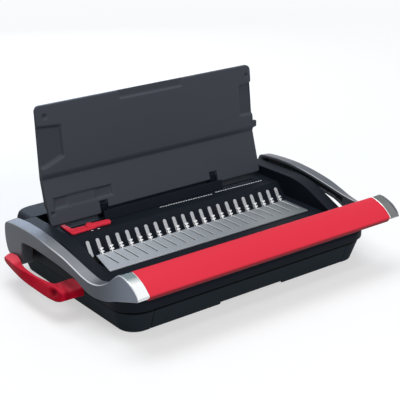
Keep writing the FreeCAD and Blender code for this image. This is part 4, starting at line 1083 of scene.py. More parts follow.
@dataclass
class Grip:
    """Wing shaped red grip with a bright collar at each end."""

    red_end: float = 183.5
    red_edge: float = 0.8
    red_spans: int = 24
    collar: Point2 = (183.6, 198.4)
    collar_edge: float = 0.5
    collar_spans: int = 6
    corner_steps: int = 6
    smooth: float = 50.0
    droop: float = 2.0
    end_round: Point2 = (0.3, 0.29)
    under_from: float = 0.1
    under_gain: float = 1.6
    section: Corners = (
        (-166.9, 66.6, 2.2), (-139.0, 62.0, 5.0), (-129.6, 70.5, 4.0), (-133.4, 88.9, 5.0),
        (-146.0, 86.6, 40.0), (-159.0, 81.2, 40.0), (-170.6, 71.0, 2.6))

    def outline(self, amount: float, droop: float) -> list[Point2]:
        """Anticlockwise section, drawn in by an amount and with its underside lowered by a droop."""
        lowered = [(y, z - droop, radius) for y, z, radius in self.section[:2]]
        return drawn_in(rounded([*lowered, *self.section[2:]], self.corner_steps), amount)

    def bar(self, name: str, ends: Point2, edge: float, slot: str, spans: int,
            droop: float = 0.0) -> bpy.types.Object:
        """Bar of the grip's section between two ends.

        Args:
            name: Name of the piece.
            ends: Lower and upper X.
            edge: Radius of the round ends.
            slot: Slot whose material it wears.
            spans: Runs along the bar.
            droop: How far its underside lies below the collars.

        Returns:
            The new object.
        """
        low, high = ends
        along, inward = (edge * share for share in self.end_round)
        cuts = [(low, edge), (low + along, inward), (low + edge, 0.0)]
        cuts += [(low + edge + (high - low - 2 * edge) * step / spans, 0.0) for step in range(1, spans)]
        cuts += [(high - edge, 0.0), (high - along, inward), (high, edge)]
        shape = Shape()
        shape.stack([[(x, y, z) for y, z in self.outline(inset, droop)] for x, inset in cuts])
        return shape.piece(name, slot, self.smooth)

    def build(self) -> None:
        """Makes the red bar and both collars."""
        red = self.bar("grip_red_bar", (-self.red_end, self.red_end), self.red_edge, "red_plastic",
                       self.red_spans, self.droop)
        # Painted shade on the faces that look down.
        mark(red.data, "hollow_tone", self._underside)
        dress(red, Body.LEVER, "red_plastic", "grip_sleeve", "grip_core")
        for side in Side:
            ends = tuple(sorted(side.value * end for end in self.collar))
            # The right collar wears the darker chrome copy, painted in shade.
            finish = "collar_chrome" if side is Side.LEFT else "collar_chrome_shaded"
            ring = self.bar(f"{side.word}_bright_collar", ends, self.collar_edge, finish, self.collar_spans)
            dress(ring, Body.LEVER, "collar_chrome", f"{side.word}_collar")

    def _underside(self, x: float, y: float, z: float, normal: Vector) -> float:
        """Share of shade on faces that look down."""
        return clamp((self.under_from - normal.z) * self.under_gain)


@dataclass
class CarryHandle:
    """Red carrying loop on the left: raised rear lobe, twisted bar, thumb dimple and front leg.

    Each station holds the loop's four long edges: outer bottom, outer crease, inner top and inner bottom.
    """

    stations: tuple[tuple[Point3, Point3, Point3, Point3], ...] = (
        ((-218.4, 94.6, 28.0), (-219.6, 92.6, 33.5), (-213.4, 94.0, 35.6), (-213.4, 95.0, 28.0)),
        ((-220.2, 87.0, 27.0), (-222.0, 86.0, 35.8), (-213.1, 88.0, 39.2), (-213.1, 88.0, 27.0)),
        ((-221.6, 79.5, 27.0), (-223.6, 79.0, 37.0), (-213.0, 81.0, 41.2), (-213.2, 80.0, 27.0)),
        ((-223.3, 70.0, 27.0), (-224.8, 69.0, 37.8), (-213.0, 70.0, 42.3), (-213.8, 69.0, 27.0)),
        ((-224.7, 61.0, 27.0), (-226.0, 59.5, 38.3), (-213.8, 61.5, 40.3), (-215.4, 61.0, 27.0)),
        ((-226.2, 51.0, 27.0), (-226.9, 50.0, 38.8), (-217.6, 50.5, 39.6), (-217.6, 51.0, 27.0)),
        ((-228.0, 38.0, 27.0), (-226.8, 37.5, 39.3), (-220.6, 38.0, 40.0), (-220.0, 38.0, 27.0)),
        ((-228.9, 25.0, 27.0), (-225.6, 27.0, 39.6), (-221.6, 25.0, 40.0), (-221.0, 25.0, 27.0)),
        ((-229.3, 12.0, 27.0), (-224.6, 13.0, 39.8), (-221.8, 12.0, 40.0), (-221.0, 12.0, 27.0)),
        ((-229.3, -2.0, 27.0), (-223.2, 0.0, 39.8), (-220.6, 1.0, 40.0), (-220.0, 0.0, 27.0)),
        ((-229.3, -14.0, 27.0), (-221.9, -12.0, 39.8), (-218.8, -11.0, 40.0), (-218.5, -10.0, 27.0)),
        ((-228.8, -26.0, 27.0), (-220.8, -23.0, 39.8), (-216.6, -18.5, 39.7), (-216.6, -18.0, 27.0)),
        ((-227.9, -35.0, 27.0), (-220.4, -31.0, 39.7), (-214.4, -20.9, 39.4), (-214.4, -20.7, 27.0)),
        ((-226.5, -41.5, 27.0), (-220.0, -38.0, 39.5), (-212.4, -21.0, 39.2), (-212.4, -21.0, 27.0)),
        ((-224.4, -45.2, 27.0), (-218.8, -43.2, 39.3), (-210.4, -21.0, 39.2), (-210.4, -21.0, 27.0)),
        ((-220.9, -46.9, 27.0), (-216.0, -45.4, 39.3), (-207.0, -21.0, 39.3), (-207.0, -21.0, 27.0)),
        ((-209.9, -47.2, 27.0), (-208.0, -46.2, 39.8), (-202.0, -21.0, 39.6), (-202.0, -21.0, 27.0)),
        ((-191.7, -48.0, 27.0), (-191.7, -47.0, 40.6), (-191.7, -21.0, 40.0), (-191.7, -21.0, 27.0)),
    )
    bends: tuple[tuple[float, float], ...] = ((1.6, 1.6), (1.4, 9.0), (1.2, 1.6), (1.6, 1.6))
    bend_room: float = 0.42
    bend_steps: int = 5
    face_steps: int = 12
    leg_from: float = 13.0
    leg_run: float = 3.0
    spans: int = 5
    tip_scale: float = 0.72
    tip_out: float = 0.9
    dimple: Point2 = (-31.5, 34.2)
    dimple_size: Point2 = (10.0, 5.0)
    dimple_depth: float = 3.0
    dimple_drop: float = 1.0
    press_x: float = -216.5
    press: Point3 = (0.87, 0.2, -0.45)
    lobe: Point2 = (50.0, 62.0)
    top_facing: Point2 = (0.35, 0.3)
    leg_x: float = -211.0
    # Painted highlight kept on the front leg's top and on the bar's top.
    leg_highlight: float = 0.7
    bar_highlight: float = 0.25
    outer_x: float = -216.0
    shade_low: float = 0.3
    shade_front: float = 0.35
    front_reach: float = 35.0
    shade_top: Point2 = (39.6, 5.0)
    side_gain: float = 1.5
    bend_x: float = -213.0
    bend_half: float = 6.0
    bend_shade: float = 0.75
    rear_leg: tuple[float, ...] = (-214.0, -191.7, 84.0, 94.0)
    rear_leg_z: Point2 = (27.0, 31.0)
    rear_leg_edge: float = 1.0
    smooth: float = 60.0
    screw: Point3 = (-213.5, -38.0, 34.0)
    screw_sides: int = 24
    screw_rings: tuple[Point2, ...] = (
        (0.0, 2.6), (0.3, 3.4), (0.9, 3.8), (2.4, 3.8), (2.4, 2.0), (30.0, 2.0), (30.6, 1.4))

    def build(self) -> None:
        """Makes the loop, the short leg that runs under the arm's boss and the screw."""
        shape = Shape()
        lines = [[run_through([(index, station[rail][axis]) for index, station in enumerate(self.stations)])
                  for axis in range(3)] for rail in range(4)]
        rings = []
        for step in range((len(self.stations) - 1) * self.spans + 1):
            at = step / self.spans
            corners = [Vector([line(at) for line in rail]) for rail in lines]
            rings.append(self.section(corners, clamp((at - self.leg_from) / self.leg_run)))
        middle = sum((Vector(point) for point in rings[0]), Vector()) / len(rings[0])
        end = middle + Vector((0.0, self.tip_out, 0.0))
        tip = [tuple(end + (Vector(point) - middle) * self.tip_scale) for point in rings[0]]
        shape.stack([tip, *rings])
        shape.slab(box(*self.rear_leg), *self.rear_leg_z, self.rear_leg_edge, lying)
        loop = shape.piece("carry_loop", "deep_red", self.smooth)
        # Painted highlight on the top faces, painted shade in the dimple, on the outer side and in the front
        # bend.
        mark(loop.data, "edge_tone", self._highlighted)
        mark(loop.data, "hollow_tone", self._shaded)
        dress(loop, Body.BASE, "red_plastic", "carry_handle")
        self._screw()

    def _highlighted(self, x: float, y: float, z: float, normal: Vector) -> float:
        """Share of painted highlight on the top, most of it on the rear lobe."""
        start, full = self.lobe
        low, reach = self.top_facing
        least = self.leg_highlight if x > self.leg_x else self.bar_highlight
        return clamp((normal.z - low) / reach) * max(min((y - start) / (full - start), 1.0), least)

    def _shaded(self, x: float, y: float, z: float, normal: Vector) -> float:
        """Share of shade in the dimple, low on the outer side and in the front bend."""
        bend = self.bend_shade * max(1 - abs(x - self.bend_x) / self.bend_half, 0.0) * max(-normal.y, 0.0)
        if x >= self.outer_x:
            return bend
        top, reach = self.shade_top
        low = self.shade_low + self.shade_front * clamp(-y / self.front_reach)
        under = low * clamp((top - z) / reach) * clamp(-normal.x * self.side_gain)
        return max(1 - self._dimple_share(y, z + self.dimple_drop) ** 3, under, bend)

    def _dimple_share(self, y: float, z: float) -> float:
        """0 in the middle of the thumb dimple and 1 at its rim."""
        (middle_y, middle_z), (half_y, half_z) = self.dimple, self.dimple_size
        return math.hypot((y - middle_y) / half_y, (z - middle_z) / half_z)

    def _screw(self) -> None:
        """Makes the screw that is sunk below the dimple."""
        x, y, z = self.screw
        turns = [math.tau * step / self.screw_sides for step in range(self.screw_sides)]
        shape = Shape()
        shape.stack([[(x + along, y + radius * math.cos(turn), z + radius * math.sin(turn)) for turn in turns]
                     for along, radius in self.screw_rings])
        dress(shape.piece("handle_fixing_screw", "zinc_steel"), Body.BASE, "zinc_steel", "handle_screw")

    def section(self, corners: Sequence[Vector], leg: float) -> list[Point3]:
        """Ring through one station with rounded corners.

        Args:
            corners: Outer bottom, outer crease, inner top and inner bottom.
            leg: 0 along the bar, 1 along the front leg, where the crease is a wide round.

        Returns:
            The ring's points.
        """
        reaches = [plain * (1 - leg) + wide * leg for plain, wide in self.bends]
        ring: list[Point3] = []
        for index, here in enumerate(corners):
            back, ahead = corners[index - 1] - here, corners[(index + 1) % 4] - here
            from_back = back.normalized() * min(reaches[index], back.length * self.bend_room)
            to_ahead = ahead.normalized() * min(reaches[index], ahead.length * self.bend_room)
            for step in range(self.bend_steps + 1):
                t = step / self.bend_steps
                ring.append(self.pressed(here + from_back * (1 - t) ** 2 + to_ahead * t * t))
            if index == 0:
                start = here + to_ahead
                stop = corners[1] - ahead.normalized() * min(reaches[1], ahead.length * self.bend_room)
                ring.extend(self.pressed(start.lerp(stop, step / self.face_steps))
                            for step in range(1, self.face_steps))
        return ring

    def pressed(self, point: Vector) -> Point3:
        """A point of the loop, pushed in where the thumb dimple is on the outer face."""
        if point.x > self.press_x:
            return tuple(point)
        push = self.dimple_depth * (1 - min(self._dimple_share(point.y, point.z), 1.0) ** 2) ** 2
        return tuple(value + push * part for value, part in zip(point, self.press))


@dataclass(frozen=True)
class Recess:
    """Shallow hollow in the lid's face with convex corners and sloping walls."""

    corners: tuple[Point2, ...]
    depth: float
    wall: float

    def at(self, x: float, z: float) -> float:
        """Depth of the recess at a place on the face."""
        room = 1e9
        for (ax, az), (bx, bz) in zip(self.corners, (*self.corners[1:], self.corners[0])):
            run_x, run_z = bx - ax, bz - az
            room = min(room, (run_x * (z - az) - run_z * (x - ax)) / math.hypot(run_x, run_z))
        share = clamp(room / self.wall)
        return self.depth * share * share * (3 - 2 * share)


@dataclass
class Lid:
    """Open lid: a relief face with pockets, scoop and hinge tongues, and the shell behind it."""

    half: float = 168.0
    foot: Point2 = (63.5, 70.0)
    crease: Point2 = (80.6, 126.0)
    step: Point2 = (79.0, 133.5)
    tuck: float = 2.4
    tuck_power: float = 2.2
    top: Point2 = (89.3, 217.0)
    skin: float = 2.6
    corner: float = 7.0
    foot_corner: float = 4.0
    edge: float = 1.1
    tongue_x: float = 94.0
    notch_x: float = 82.0
    middle_z: float = 75.6
    notch_z: float = 85.0
    cell: float = 1.45
    recesses: tuple[Recess, ...] = (
        Recess(((-180.0, 138.0), (-160.0, 140.0), (-133.5, 149.5), (-133.5, 190.5), (-180.0, 194.5)),
               3.2, 4.2),
        Recess(((144.5, 149.0), (180.0, 147.0), (180.0, 197.0), (144.5, 191.5)), 3.2, 3.6),
        Recess(((-47.0, 206.0), (51.0, 206.0), (56.0, 230.0), (-52.0, 230.0)), 2.4, 2.2),
        Recess(((-158.0, 88.0), (-72.0, 88.0), (-72.0, 102.6), (-158.0, 102.6)), 1.1, 1.5),
        Recess(((-157.0, 89.0), (-137.5, 89.0), (-137.5, 101.6), (-157.0, 101.6)), 1.0, 1.2),
        Recess(((-97.5, 89.0), (-73.0, 89.0), (-73.0, 101.6), (-97.5, 101.6)), 1.0, 1.2),
    )
    dimples: tuple[Point3, ...] = ((-156.0, 203.0, 3.4), (160.0, 203.5, 3.4), (-162.0, 84.5, 2.2))
    dimple_depth: float = 2.6
    soft_lines: Point3 = (0.12, 0.4, 0.8)
    least_cell: float = 0.05
    back_gap: float = 1.2
    back_slack: float = 1.0
    smooth: float = 50.0
    shell_edge: float = 1.0
    inside: float = 9.0
    probe: float = 0.4
    end_shade: float = 0.75
    end_slack: float = 0.2
    end_facing: float = -0.9
    depth_shade: float = 0.09
    side_shade: float = 0.22
    down_shade: float = 0.3
    tuck_shade: float = 0.5
    tuck_end: float = 0.1
    most_shade: float = 0.7
    up_light: float = 0.3
    most_light: float = 0.6
    catch: Corners = (
        (165.0, 129.5), (173.4, 130.6, 1.6), (173.4, 139.4, 1.6), (165.0, 140.5))
    catch_span: Point2 = (-82.4, -79.0)
    catch_edge: float = 0.6

    def face(self, z: float) -> float:
        """Y of the plain face at a height."""
        low, high = (self.foot, self.crease) if z <= self.crease[1] else (self.step, self.top)
        y = low[0] + (high[0] - low[0]) * (min(z, self.top[1]) - low[1]) / (high[1] - low[1])
        if self.crease[1] < z < self.step[1]:
            share = (self.step[1] - z) / (self.step[1] - self.crease[1])
            y += self.tuck * share ** self.tuck_power
        return y

    def depth(self, x: float, z: float, gap: float) -> float:
        """How far the face lies behind the plain one.

        Args:
            x: Place across the lid.
            z: Height.
            gap: Distance to the nearest edge of the lid.

        Returns:
            The depth in millimetres.
        """
        depth = sum(recess.at(x, z) for recess in self.recesses)
        for spot_x, spot_z, radius in self.dimples:
            share = min(math.hypot(x - spot_x, z - spot_z) / radius, 1.0)
            depth += self.dimple_depth * (1 - share * share)
        if gap < self.edge:
            depth += self.edge - math.sqrt(max(self.edge ** 2 - (self.edge - gap) ** 2, 0.0))
        return depth

    def grid_lines(self, stops: Sequence[float], soft: Sequence[float]) -> list[float]:
        """Grid lines through stops, with close ones where an edge is rounded.

        Args:
            stops: Values that lie on a grid line.
            soft: Stops with rounded edges.

        Returns:
            The lines in rising order.
        """
        lines = set()
        for low, high in zip(stops, stops[1:]):
            count = max(1, round((high - low) / self.cell))
            lines.update(low + (high - low) * step / count for step in range(count + 1))
        for stop in soft:
            for share in self.soft_lines:
                lines.update((stop - self.edge * share, stop + self.edge * share))
        ordered: list[float] = []
        for line in sorted(line for line in lines if stops[0] <= line <= stops[-1]):
            if not ordered or line - ordered[-1] > self.least_cell:
                ordered.append(line)
        return ordered

    def low_edge(self, x: float) -> float:
        """Lower edge of the lid at a place across it."""
        reach = abs(x)
        if reach > self.tongue_x:
            return self.foot[1]
        return self.notch_z if reach > self.notch_x else self.middle_z

    def gap(self, x: float, z: float) -> float:
        """Distance from a place on the face to the nearest edge."""
        reach = abs(x)
        room = min(self.half - reach, self.top[1] - z)
        if reach >= self.tongue_x:
            room = min(room, z - self.foot[1])
            if z < self.notch_z + self.edge:
                room = min(room, max(reach - self.tongue_x, z - self.notch_z))
        elif reach > self.notch_x:
            room = min(room, z - self.notch_z)
        else:
            room = min(room, z - self.middle_z)
            if z < self.notch_z + self.edge:
                room = min(room, max(self.notch_x - reach, z - self.notch_z))
        return max(room, 0.0)

    def width(self, z: float) -> float:
        """Half width of the lid at a height, less at its round corners."""
        for radius, far in ((self.corner, self.top[1] - z), (self.foot_corner, z - self.foot[1])):
            if far < radius:
                return self.half - radius + math.sqrt(max(radius ** 2 - (radius - far) ** 2, 0.0))
        return self.half

    def build(self) -> None:
        """Makes the relief face, the side catch and the shell."""
        sides = [-self.half, -self.tongue_x, -self.notch_x, self.notch_x, self.tongue_x, self.half]
        across = self.grid_lines(sides, sides)
        lower = [self.foot[1], self.middle_z, self.notch_z]
        upward = self.grid_lines([*lower, self.crease[1], self.step[1], self.top[1]], [*lower, self.top[1]])
        bend = self.half - self.corner
        shape = Shape()
        grid: dict[tuple[int, int], int] = {}
        for row, z in enumerate(upward):
            squeeze = (self.width(z) - bend) / self.corner
            for column, x in enumerate(across):
                y = self.face(z) + self.depth(x, z, self.gap(x, z))
                over = max(abs(x) - bend, 0.0)
                spot = x if over == 0 else math.copysign(bend + over * squeeze, x)
                grid[row, column] = len(shape.points)
                shape.points.append((spot, y, z))
        for row in range(len(upward) - 1):
            for column in range(len(across) - 1):
                middle = (across[column] + across[column + 1]) / 2
                if upward[row] >= self.low_edge(middle) - 1e-6:
                    shape.faces.append((grid[row, column], grid[row, column + 1],
                                        grid[row + 1, column + 1], grid[row + 1, column]))
        self._wrap(shape)
        panel = shape.piece("lid_relief_panel", "slate_plastic", self.smooth)
        # Painted shade in the hollows and on walls that look down or aside, painted highlight on walls that
        # look up.
        mark(panel.data, "hollow_tone", self._shaded)
        mark(panel.data, "edge_tone", self._lit)
        dress(panel, Body.LID, "slate_plastic", "lid_panel")
        self._catch()
        shell = softened("lid_cover", "slate_plastic", self.shell_edge)
        # Painted shade on the shell's left end.
        mark(shell.data, "hollow_tone", self._end_shaded)
        dress(shell, Body.LID, "slate_plastic", "lid_cover")

    def _slopes(self, x: float, z: float) -> Point2:
        """How the depth of the relief grows across and upward round a place."""
        step, gap = self.probe, self.inside
        return (self.depth(x + step, z, gap) - self.depth(x - step, z, gap),
                self.depth(x, z + step, gap) - self.depth(x, z - step, gap))

    def _plain(self, x: float, y: float, z: float) -> bool:
        """Whether a place is on the panel's back or its left end."""
        return y > self.face(z) + self.skin + self.back_slack or x < self.end_slack - self.half

    def _shaded(self, x: float, y: float, z: float, normal: Vector) -> float:
        """Share of shade in hollows, on walls that look down or aside and on the left end."""
        if self._plain(x, y, z):
            return self.end_shade if x < self.end_slack - self.half else 0.0
        across, upward = self._slopes(x, z)
        low, high = self.crease[1], self.step[1]
        shadow = self.depth_shade * self.depth(x, z, self.inside) + self.side_shade * abs(across)
        shadow += self.down_shade * max(-upward, 0.0)
        if low < z < high - self.tuck_end:
            shadow += self.tuck_shade * (z - low) / (high - low)
        return min(shadow, self.most_shade)

    def _lit(self, x: float, y: float, z: float, normal: Vector) -> float:
        """Share of light on walls that look up."""
        if self._plain(x, y, z):
            return 0.0
        return min(self.up_light * max(self._slopes(x, z)[1], 0.0), self.most_light)

    def _end_shaded(self, x: float, y: float, z: float, normal: Vector) -> float:
        """Share of shade on the shell's left end."""
        return self.end_shade if normal.x < self.end_facing else 0.0

    def _wrap(self, shape: Shape) -> None:
        """Closes the relief with a flat back and a rim round its outline."""
        used = sorted({number for face in shape.faces for number in face})
        back = {}
        for number in used:
            x, y, z = shape.points[number]
            back[number] = len(shape.points)
            shape.points.append((x, self.face(z) + self.skin + self.back_gap, z))
        count: dict[tuple[int, int], int] = {}
        for face in shape.faces:
            for first, second in zip(face, (*face[1:], face[0])):
                key = (min(first, second), max(first, second))
                count[key] = count.get(key, 0) + 1
        edges = [(first, second) for face in shape.faces for first, second in zip(face, (*face[1:], face[0]))
                 if count[min(first, second), max(first, second)] == 1]
        shape.faces.extend([tuple(back[number] for number in reversed(face)) for face in list(shape.faces)])
        shape.faces.extend((second, first, back[first], back[second]) for first, second in edges)

    def _catch(self) -> None:
        """Small catch that stands out of the right edge."""
        def put(a: float, b: float, level: float) -> Point3:
            """Place on the upright lid."""
            return (a, -level, b)

        shape = Shape()
        shape.slab(rounded(self.catch, 4), *self.catch_span, self.catch_edge, put)
        dress(shape.piece("lid_side_catch", "slate_plastic"), Body.LID, "slate_plastic")


@dataclass
class CombRow:
    """Fixed fingers and sliding hooks that open the comb."""

    pitch: float = 14.2875
    fingers: int = 22
    width: float = 5.0
    gauge: float = 1.5
    finger_edge: float = 0.4
    strip_edge: float = 0.3
    hook_edge: float = 0.2
    bar_edge: float = 0.5
    lean: float = 32.0
    tip: Point2 = (10.0, 65.1)
    strip_z: float = 43.5
    strip_depth: float = 16.0
    stem: float = 0.8
    prong_x: Point2 = (-2.4, 2.9)
    prongs: tuple[Point2, Point2] = ((7.1, 9.1), (10.9, 12.9))
    prong_round: float = 0.5
    hook_foot: float = 0.6
    hook_levels: Point2 = (0.6, 1.95)
    tip_round: float = 0.98
    foot_y: Point2 = (-5.8, -4.2)
    foot_z: Point2 = (44.0, 46.0)
    bar_half: float = 180.0
    bar_y: Point2 = (-12.0, -4.0)
    bar_z: Point2 = (38.5, 44.5)

    def build(self, rows: RowTree) -> None:
        """Makes the finger strip and the rake.

        Args:
            rows: Tree that repeats a mesh along a step.
        """
        first = -self.pitch * (self.fingers - 1) / 2
        self._fingers(rows, first)
        self._hooks(rows, first + self.pitch)

    @property
    def root_y(self) -> float:
        """Y of the fingers' front face at the strip."""
        return self.tip[0] - (self.tip[1] - self.strip_z) * math.tan(math.radians(self.lean))

    def leaning(self, x: float) -> Put:
        """Placing on the plane that leans back through a finger's front face.

        Args:
            x: Middle of the finger.

        Returns:
            A function of the place across, along and in front of the finger.
        """
        lean = math.radians(self.lean)

        def put(across: float, along: float, level: float) -> Point3:
            """Place in space."""
            return (x + across, self.root_y + along * math.sin(lean) - level * math.cos(lean),
                    self.strip_z + along * math.cos(lean) + level * math.sin(lean))

        return put

    def _fingers(self, rows: RowTree, first: float) -> None:
        """Row of leaning fingers with round tips, and the strip that holds them."""
        length = (self.tip[1] - self.strip_z) / math.cos(math.radians(self.lean))
        half = self.width / 2
        turn = half * self.tip_round
        outline = rounded([(-half, 0.0), (half, 0.0), (half, length, turn), (-half, length, turn)], 8)
        shape = Shape()
        shape.slab(outline, -self.gauge, 0.0, self.finger_edge, self.leaning(first))
        row = shape.piece("finger_row", "finger_steel")
        rows.repeat(row, self.fingers, (self.pitch, 0, 0), "finger_steel")
        dress(row, Body.BASE, "bright_steel")
        end = -first + half
        strip = Shape()
        strip.slab(box(-end, end, self.root_y, self.root_y + self.strip_depth),
                   self.strip_z, self.strip_z + self.gauge, self.strip_edge, lying, 2)
        dress(strip.piece("finger_strip", "finger_steel"), Body.BASE, "bright_steel", "finger_comb")

    def _hooks(self, rows: RowTree, first: float) -> None:
        """Row of double hooks that lean in front of the fingers, on the sliding bar."""
        stem, turn = self.stem, self.prong_round
        left, right = self.prong_x
        up = [point for low, high in self.prongs
              for point in ((stem, low), (right, low, turn), (right, high, turn), (stem, high))]
        down = [point for low, high in reversed(self.prongs)
                for point in ((-stem, high), (left, high, turn), (left, low, turn), (-stem, low))]
        corners = [(-stem, self.hook_foot), (stem, self.hook_foot), *up[:-1], *down[1:]]
        shape = Shape()
        shape.slab(rounded(corners, 3), *self.hook_levels, self.hook_edge, self.leaning(first), 2)
        shape.slab(box(first - stem, first + stem, *self.foot_y), *self.foot_z, self.hook_edge, lying, 1)
        row = shape.piece("hook_row", "hook_plating")
        rows.repeat(row, self.fingers - 1, (self.pitch, 0, 0), "hook_plating")
        dress(row, Body.RAKE, "bright_steel")
        bar = Shape()
        bar.slab(box(-self.bar_half, self.bar_half, *self.bar_y), *self.bar_z, self.bar_edge, lying, 2)
        dress(bar.piece("hook_bar", "finger_steel"), Body.RAKE, "bright_steel", "opener_rake")


@dataclass
class WorkPlate:
    """Bright plate on the deck with one open slot for each hook."""

    half: float = 157.0
    front: float = -49.5
    rear: float = -2.2
    rear_left: float = -145.5
    levels: Point2 = (47.5, 49.5)
    corner: float = 1.5
    slot_half: float = 0.95
    slot_front: float = -37.0
    edge: float = 0.75
    wall_slack: float = 0.1
    top_slack: float = 0.02
    slot_light: Point2 = (0.45, 0.55)
    light_from: float = -38.0

    def build(self, row: CombRow) -> None:
        """Makes the plate and marks a painted highlight on the slot walls.

        Args:
            row: Row of hooks that the slots are for.
        """
        count = row.fingers - 1
        places = [row.pitch * (index + 1 - count / 2) for index in range(count)]
        turn, slot = self.corner, self.slot_half
        corners: list[tuple[float, ...]] = [(-self.half, self.front, turn), (self.half, self.front, turn),
                                            (self.half, self.rear, turn)]
        for x in reversed(places):
            corners += [(x + slot, self.rear), (x + slot, self.slot_front),
                        (x - slot, self.slot_front), (x - slot, self.rear)]
        corners.append((self.rear_left, self.rear, turn))

        def lit(x: float, y: float, z: float, normal: Vector) -> float:
            """Share of painted highlight on the right wall of the nearest slot, more towards the rear."""
            off = min((x - place for place in places), key=abs)
            share = (y - self.light_from) / (self.rear - self.slot_front)
            beside = slot - self.wall_slack < off < slot + self.edge
            if not beside or share <= 0 or not sum(self.levels) / 2 < z < self.levels[1] - self.top_slack:
                return 0.0
            least, more = self.slot_light
            return least + more * min(share, 1.0)

        shape = Shape()
        shape.slab(rounded(corners, 4), *self.levels, self.edge, lying)
        plate = shape.piece("slotted_work_plate", "satin_steel")
        # Painted highlight on the slot walls.
        mark(plate.data, "edge_tone", lit)
        dress(plate, Body.BASE, "satin_steel", "work_plate")


@dataclass
class BenchPrint:
    """Plain printed dashes along the bench and short ticks in front of the sheet stop."""

    level: float = 63.0
    film: float = 0.06
    dash: Point2 = (2.9, 1.6)
    step: float = 4.0
    rows: tuple[tuple[float, float, float, int], ...] = (
        (-11.5, 50.4, -0.04, 21), (79.5, 49.6, -0.035, 20))
    ticks: tuple[Point2, ...] = ((-125.0, 38.0), (-115.0, 38.4))
    tick: Point2 = (3.4, 1.4)
    corner: float = 0.3

    def build(self, rows: RowTree) -> None:
        """Prints the rows and the ticks on the bench.

        Args:
            rows: Tree that repeats a mesh along a step.
        """
        for number, (x, y, slope, count) in enumerate(self.rows, 1):
            row = self._mark(f"bench_dashes_{number}", [(x, y)], self.dash)
            rows.repeat(row, count, (self.step, self.step * slope, 0.0), "print_white")
            dress(row, Body.BASE, "deck_plastic")
        dress(self._mark("bench_ticks", self.ticks, self.tick), Body.BASE, "deck_plastic")

    def _mark(self, name: str, places: Sequence[Point2], size: Point2) -> bpy.types.Object:
        """Thin film of ink with round corners at each place."""
        half, deep = size[0] / 2, size[1] / 2
        shape = Shape()
        for x, y in places:
            corners = [(*point, self.corner) for point in box(x - half, x + half, y - deep, y + deep)]
            shape.slab(rounded(corners, 2), self.level - self.film, self.level + self.film,
                       self.film / 2, lying, 1)
        return shape.piece(name, "print_white")


@dataclass(frozen=True)
class Block:
    """Low block with round corners and a round upper edge."""

    corners: Corners
    corner_steps: int
    top: float
    edge: float
    edge_steps: int


@dataclass
class EdgeGuide:
    """Red sheet stop: an L shaped slider with a hump and a round ended stick."""

    foot: float = 63.2
    blocks: tuple[Block, ...] = (
        Block(((-153.4, 38.4, 3.5), (-117.0, 40.4), (-117.0, 52.0), (-144.6, 53.0, 2.5), (-144.6, 71.0, 1.0),
               (-151.4, 71.0, 1.0)), 6, 65.8, 0.9, 3),
        Block(((-132.0, 42.4, 4.0), (-117.0, 42.0, 4.0), (-116.5, 53.0, 5.0), (-125.0, 54.0, 5.0)),
              7, 68.2, 1.9, 5),
        Block(((-124.0, 41.2, 3.0), (-93.6, 39.6, 5.0), (-93.6, 50.0, 5.0), (-124.0, 51.4, 3.0)),
              7, 67.6, 1.8, 4),
    )
    key: tuple[float, ...] = (-140.5, -100.5, 44.2, 46.8)
    key_levels: Point2 = (58.8, 63.8)
    key_edge: float = 0.3
    smooth: float = 45.0

    def build(self) -> None:
        """Makes the slider with its hump, stick and the key below it."""
        shape = Shape()
        for block in self.blocks:
            outline = rounded(block.corners, block.corner_steps)
            shape.slab(outline, self.foot, block.top, block.edge, lying, block.edge_steps)
        shape.slab(box(*self.key), *self.key_levels, self.key_edge, lying, 1)
        guide = shape.piece("edge_guide_slider", "red_plastic", self.smooth)
        dress(guide, Body.GUIDE, "red_plastic", "edge_guide")


@dataclass(frozen=True)
class SoftPiece:
    """Solid of the frame that is shown with rounded edges."""

    node: str
    slot: str
    body: Body
    edge: float
    seam_shadow: Point2 | None = None

    def build(self) -> None:
        """Makes the rounded copy, paints a shadow on it up to its seam and lets it stand for the node."""
        made = softened(self.node, self.slot, self.edge, self.seam_shadow or ())
        if self.seam_shadow:
            # Painted shadow band below the seam.
            mark(made.data, "hollow_tone", self._shaded)
        dress(made, self.body, self.slot, self.node)

    def _shaded(self, x: float, y: float, z: float, normal: Vector) -> float:
        """Share of painted shadow that grows up to the seam."""
        low, full = self.seam_shadow
        return clamp((z - low) / (full - low))


# Heights over which the painted shadow under the housing's lower edge grows on the tub and the drawer.
SEAM_SHADOW = (26.8, 29.0)
SOFT_PIECES = (
    SoftPiece("base_tub", "black_plastic", Body.BASE, 0.9, SEAM_SHADOW),
    SoftPiece("waste_drawer", "black_plastic", Body.DRAWER, 0.5, SEAM_SHADOW),
    SoftPiece("upper_housing", "deck_plastic", Body.BASE, 0.8),
    SoftPiece("rear_cover", "deck_plastic", Body.BASE, 0.8),
    SoftPiece("throat_guard", "deck_plastic", Body.BASE, 0.8),
    SoftPiece("hinge_brackets", "deck_plastic", Body.BASE, 0.5),
)


@dataclass(frozen=True)
class Lamp:
    """Square soft lamp that looks at a target, in metres and watts."""

    name: str
    place: Point3
    target: Point3
    size: float
    power: float
    colour: Colour

    def build(self) -> None:
        """Hangs the lamp in the scene."""
        data = bpy.data.lights.new(self.name, "AREA")
        data.shape = "SQUARE"
        data.size = self.size
        data.energy = self.power
        data.color = self.colour
        lamp = bpy.data.objects.new(self.name, data)
        lamp.location = self.place
        lamp.rotation_euler = (Vector(self.target) - Vector(self.place)).to_track_quat("-Z", "Y").to_euler()
        bpy.context.scene.collection.objects.link(lamp)


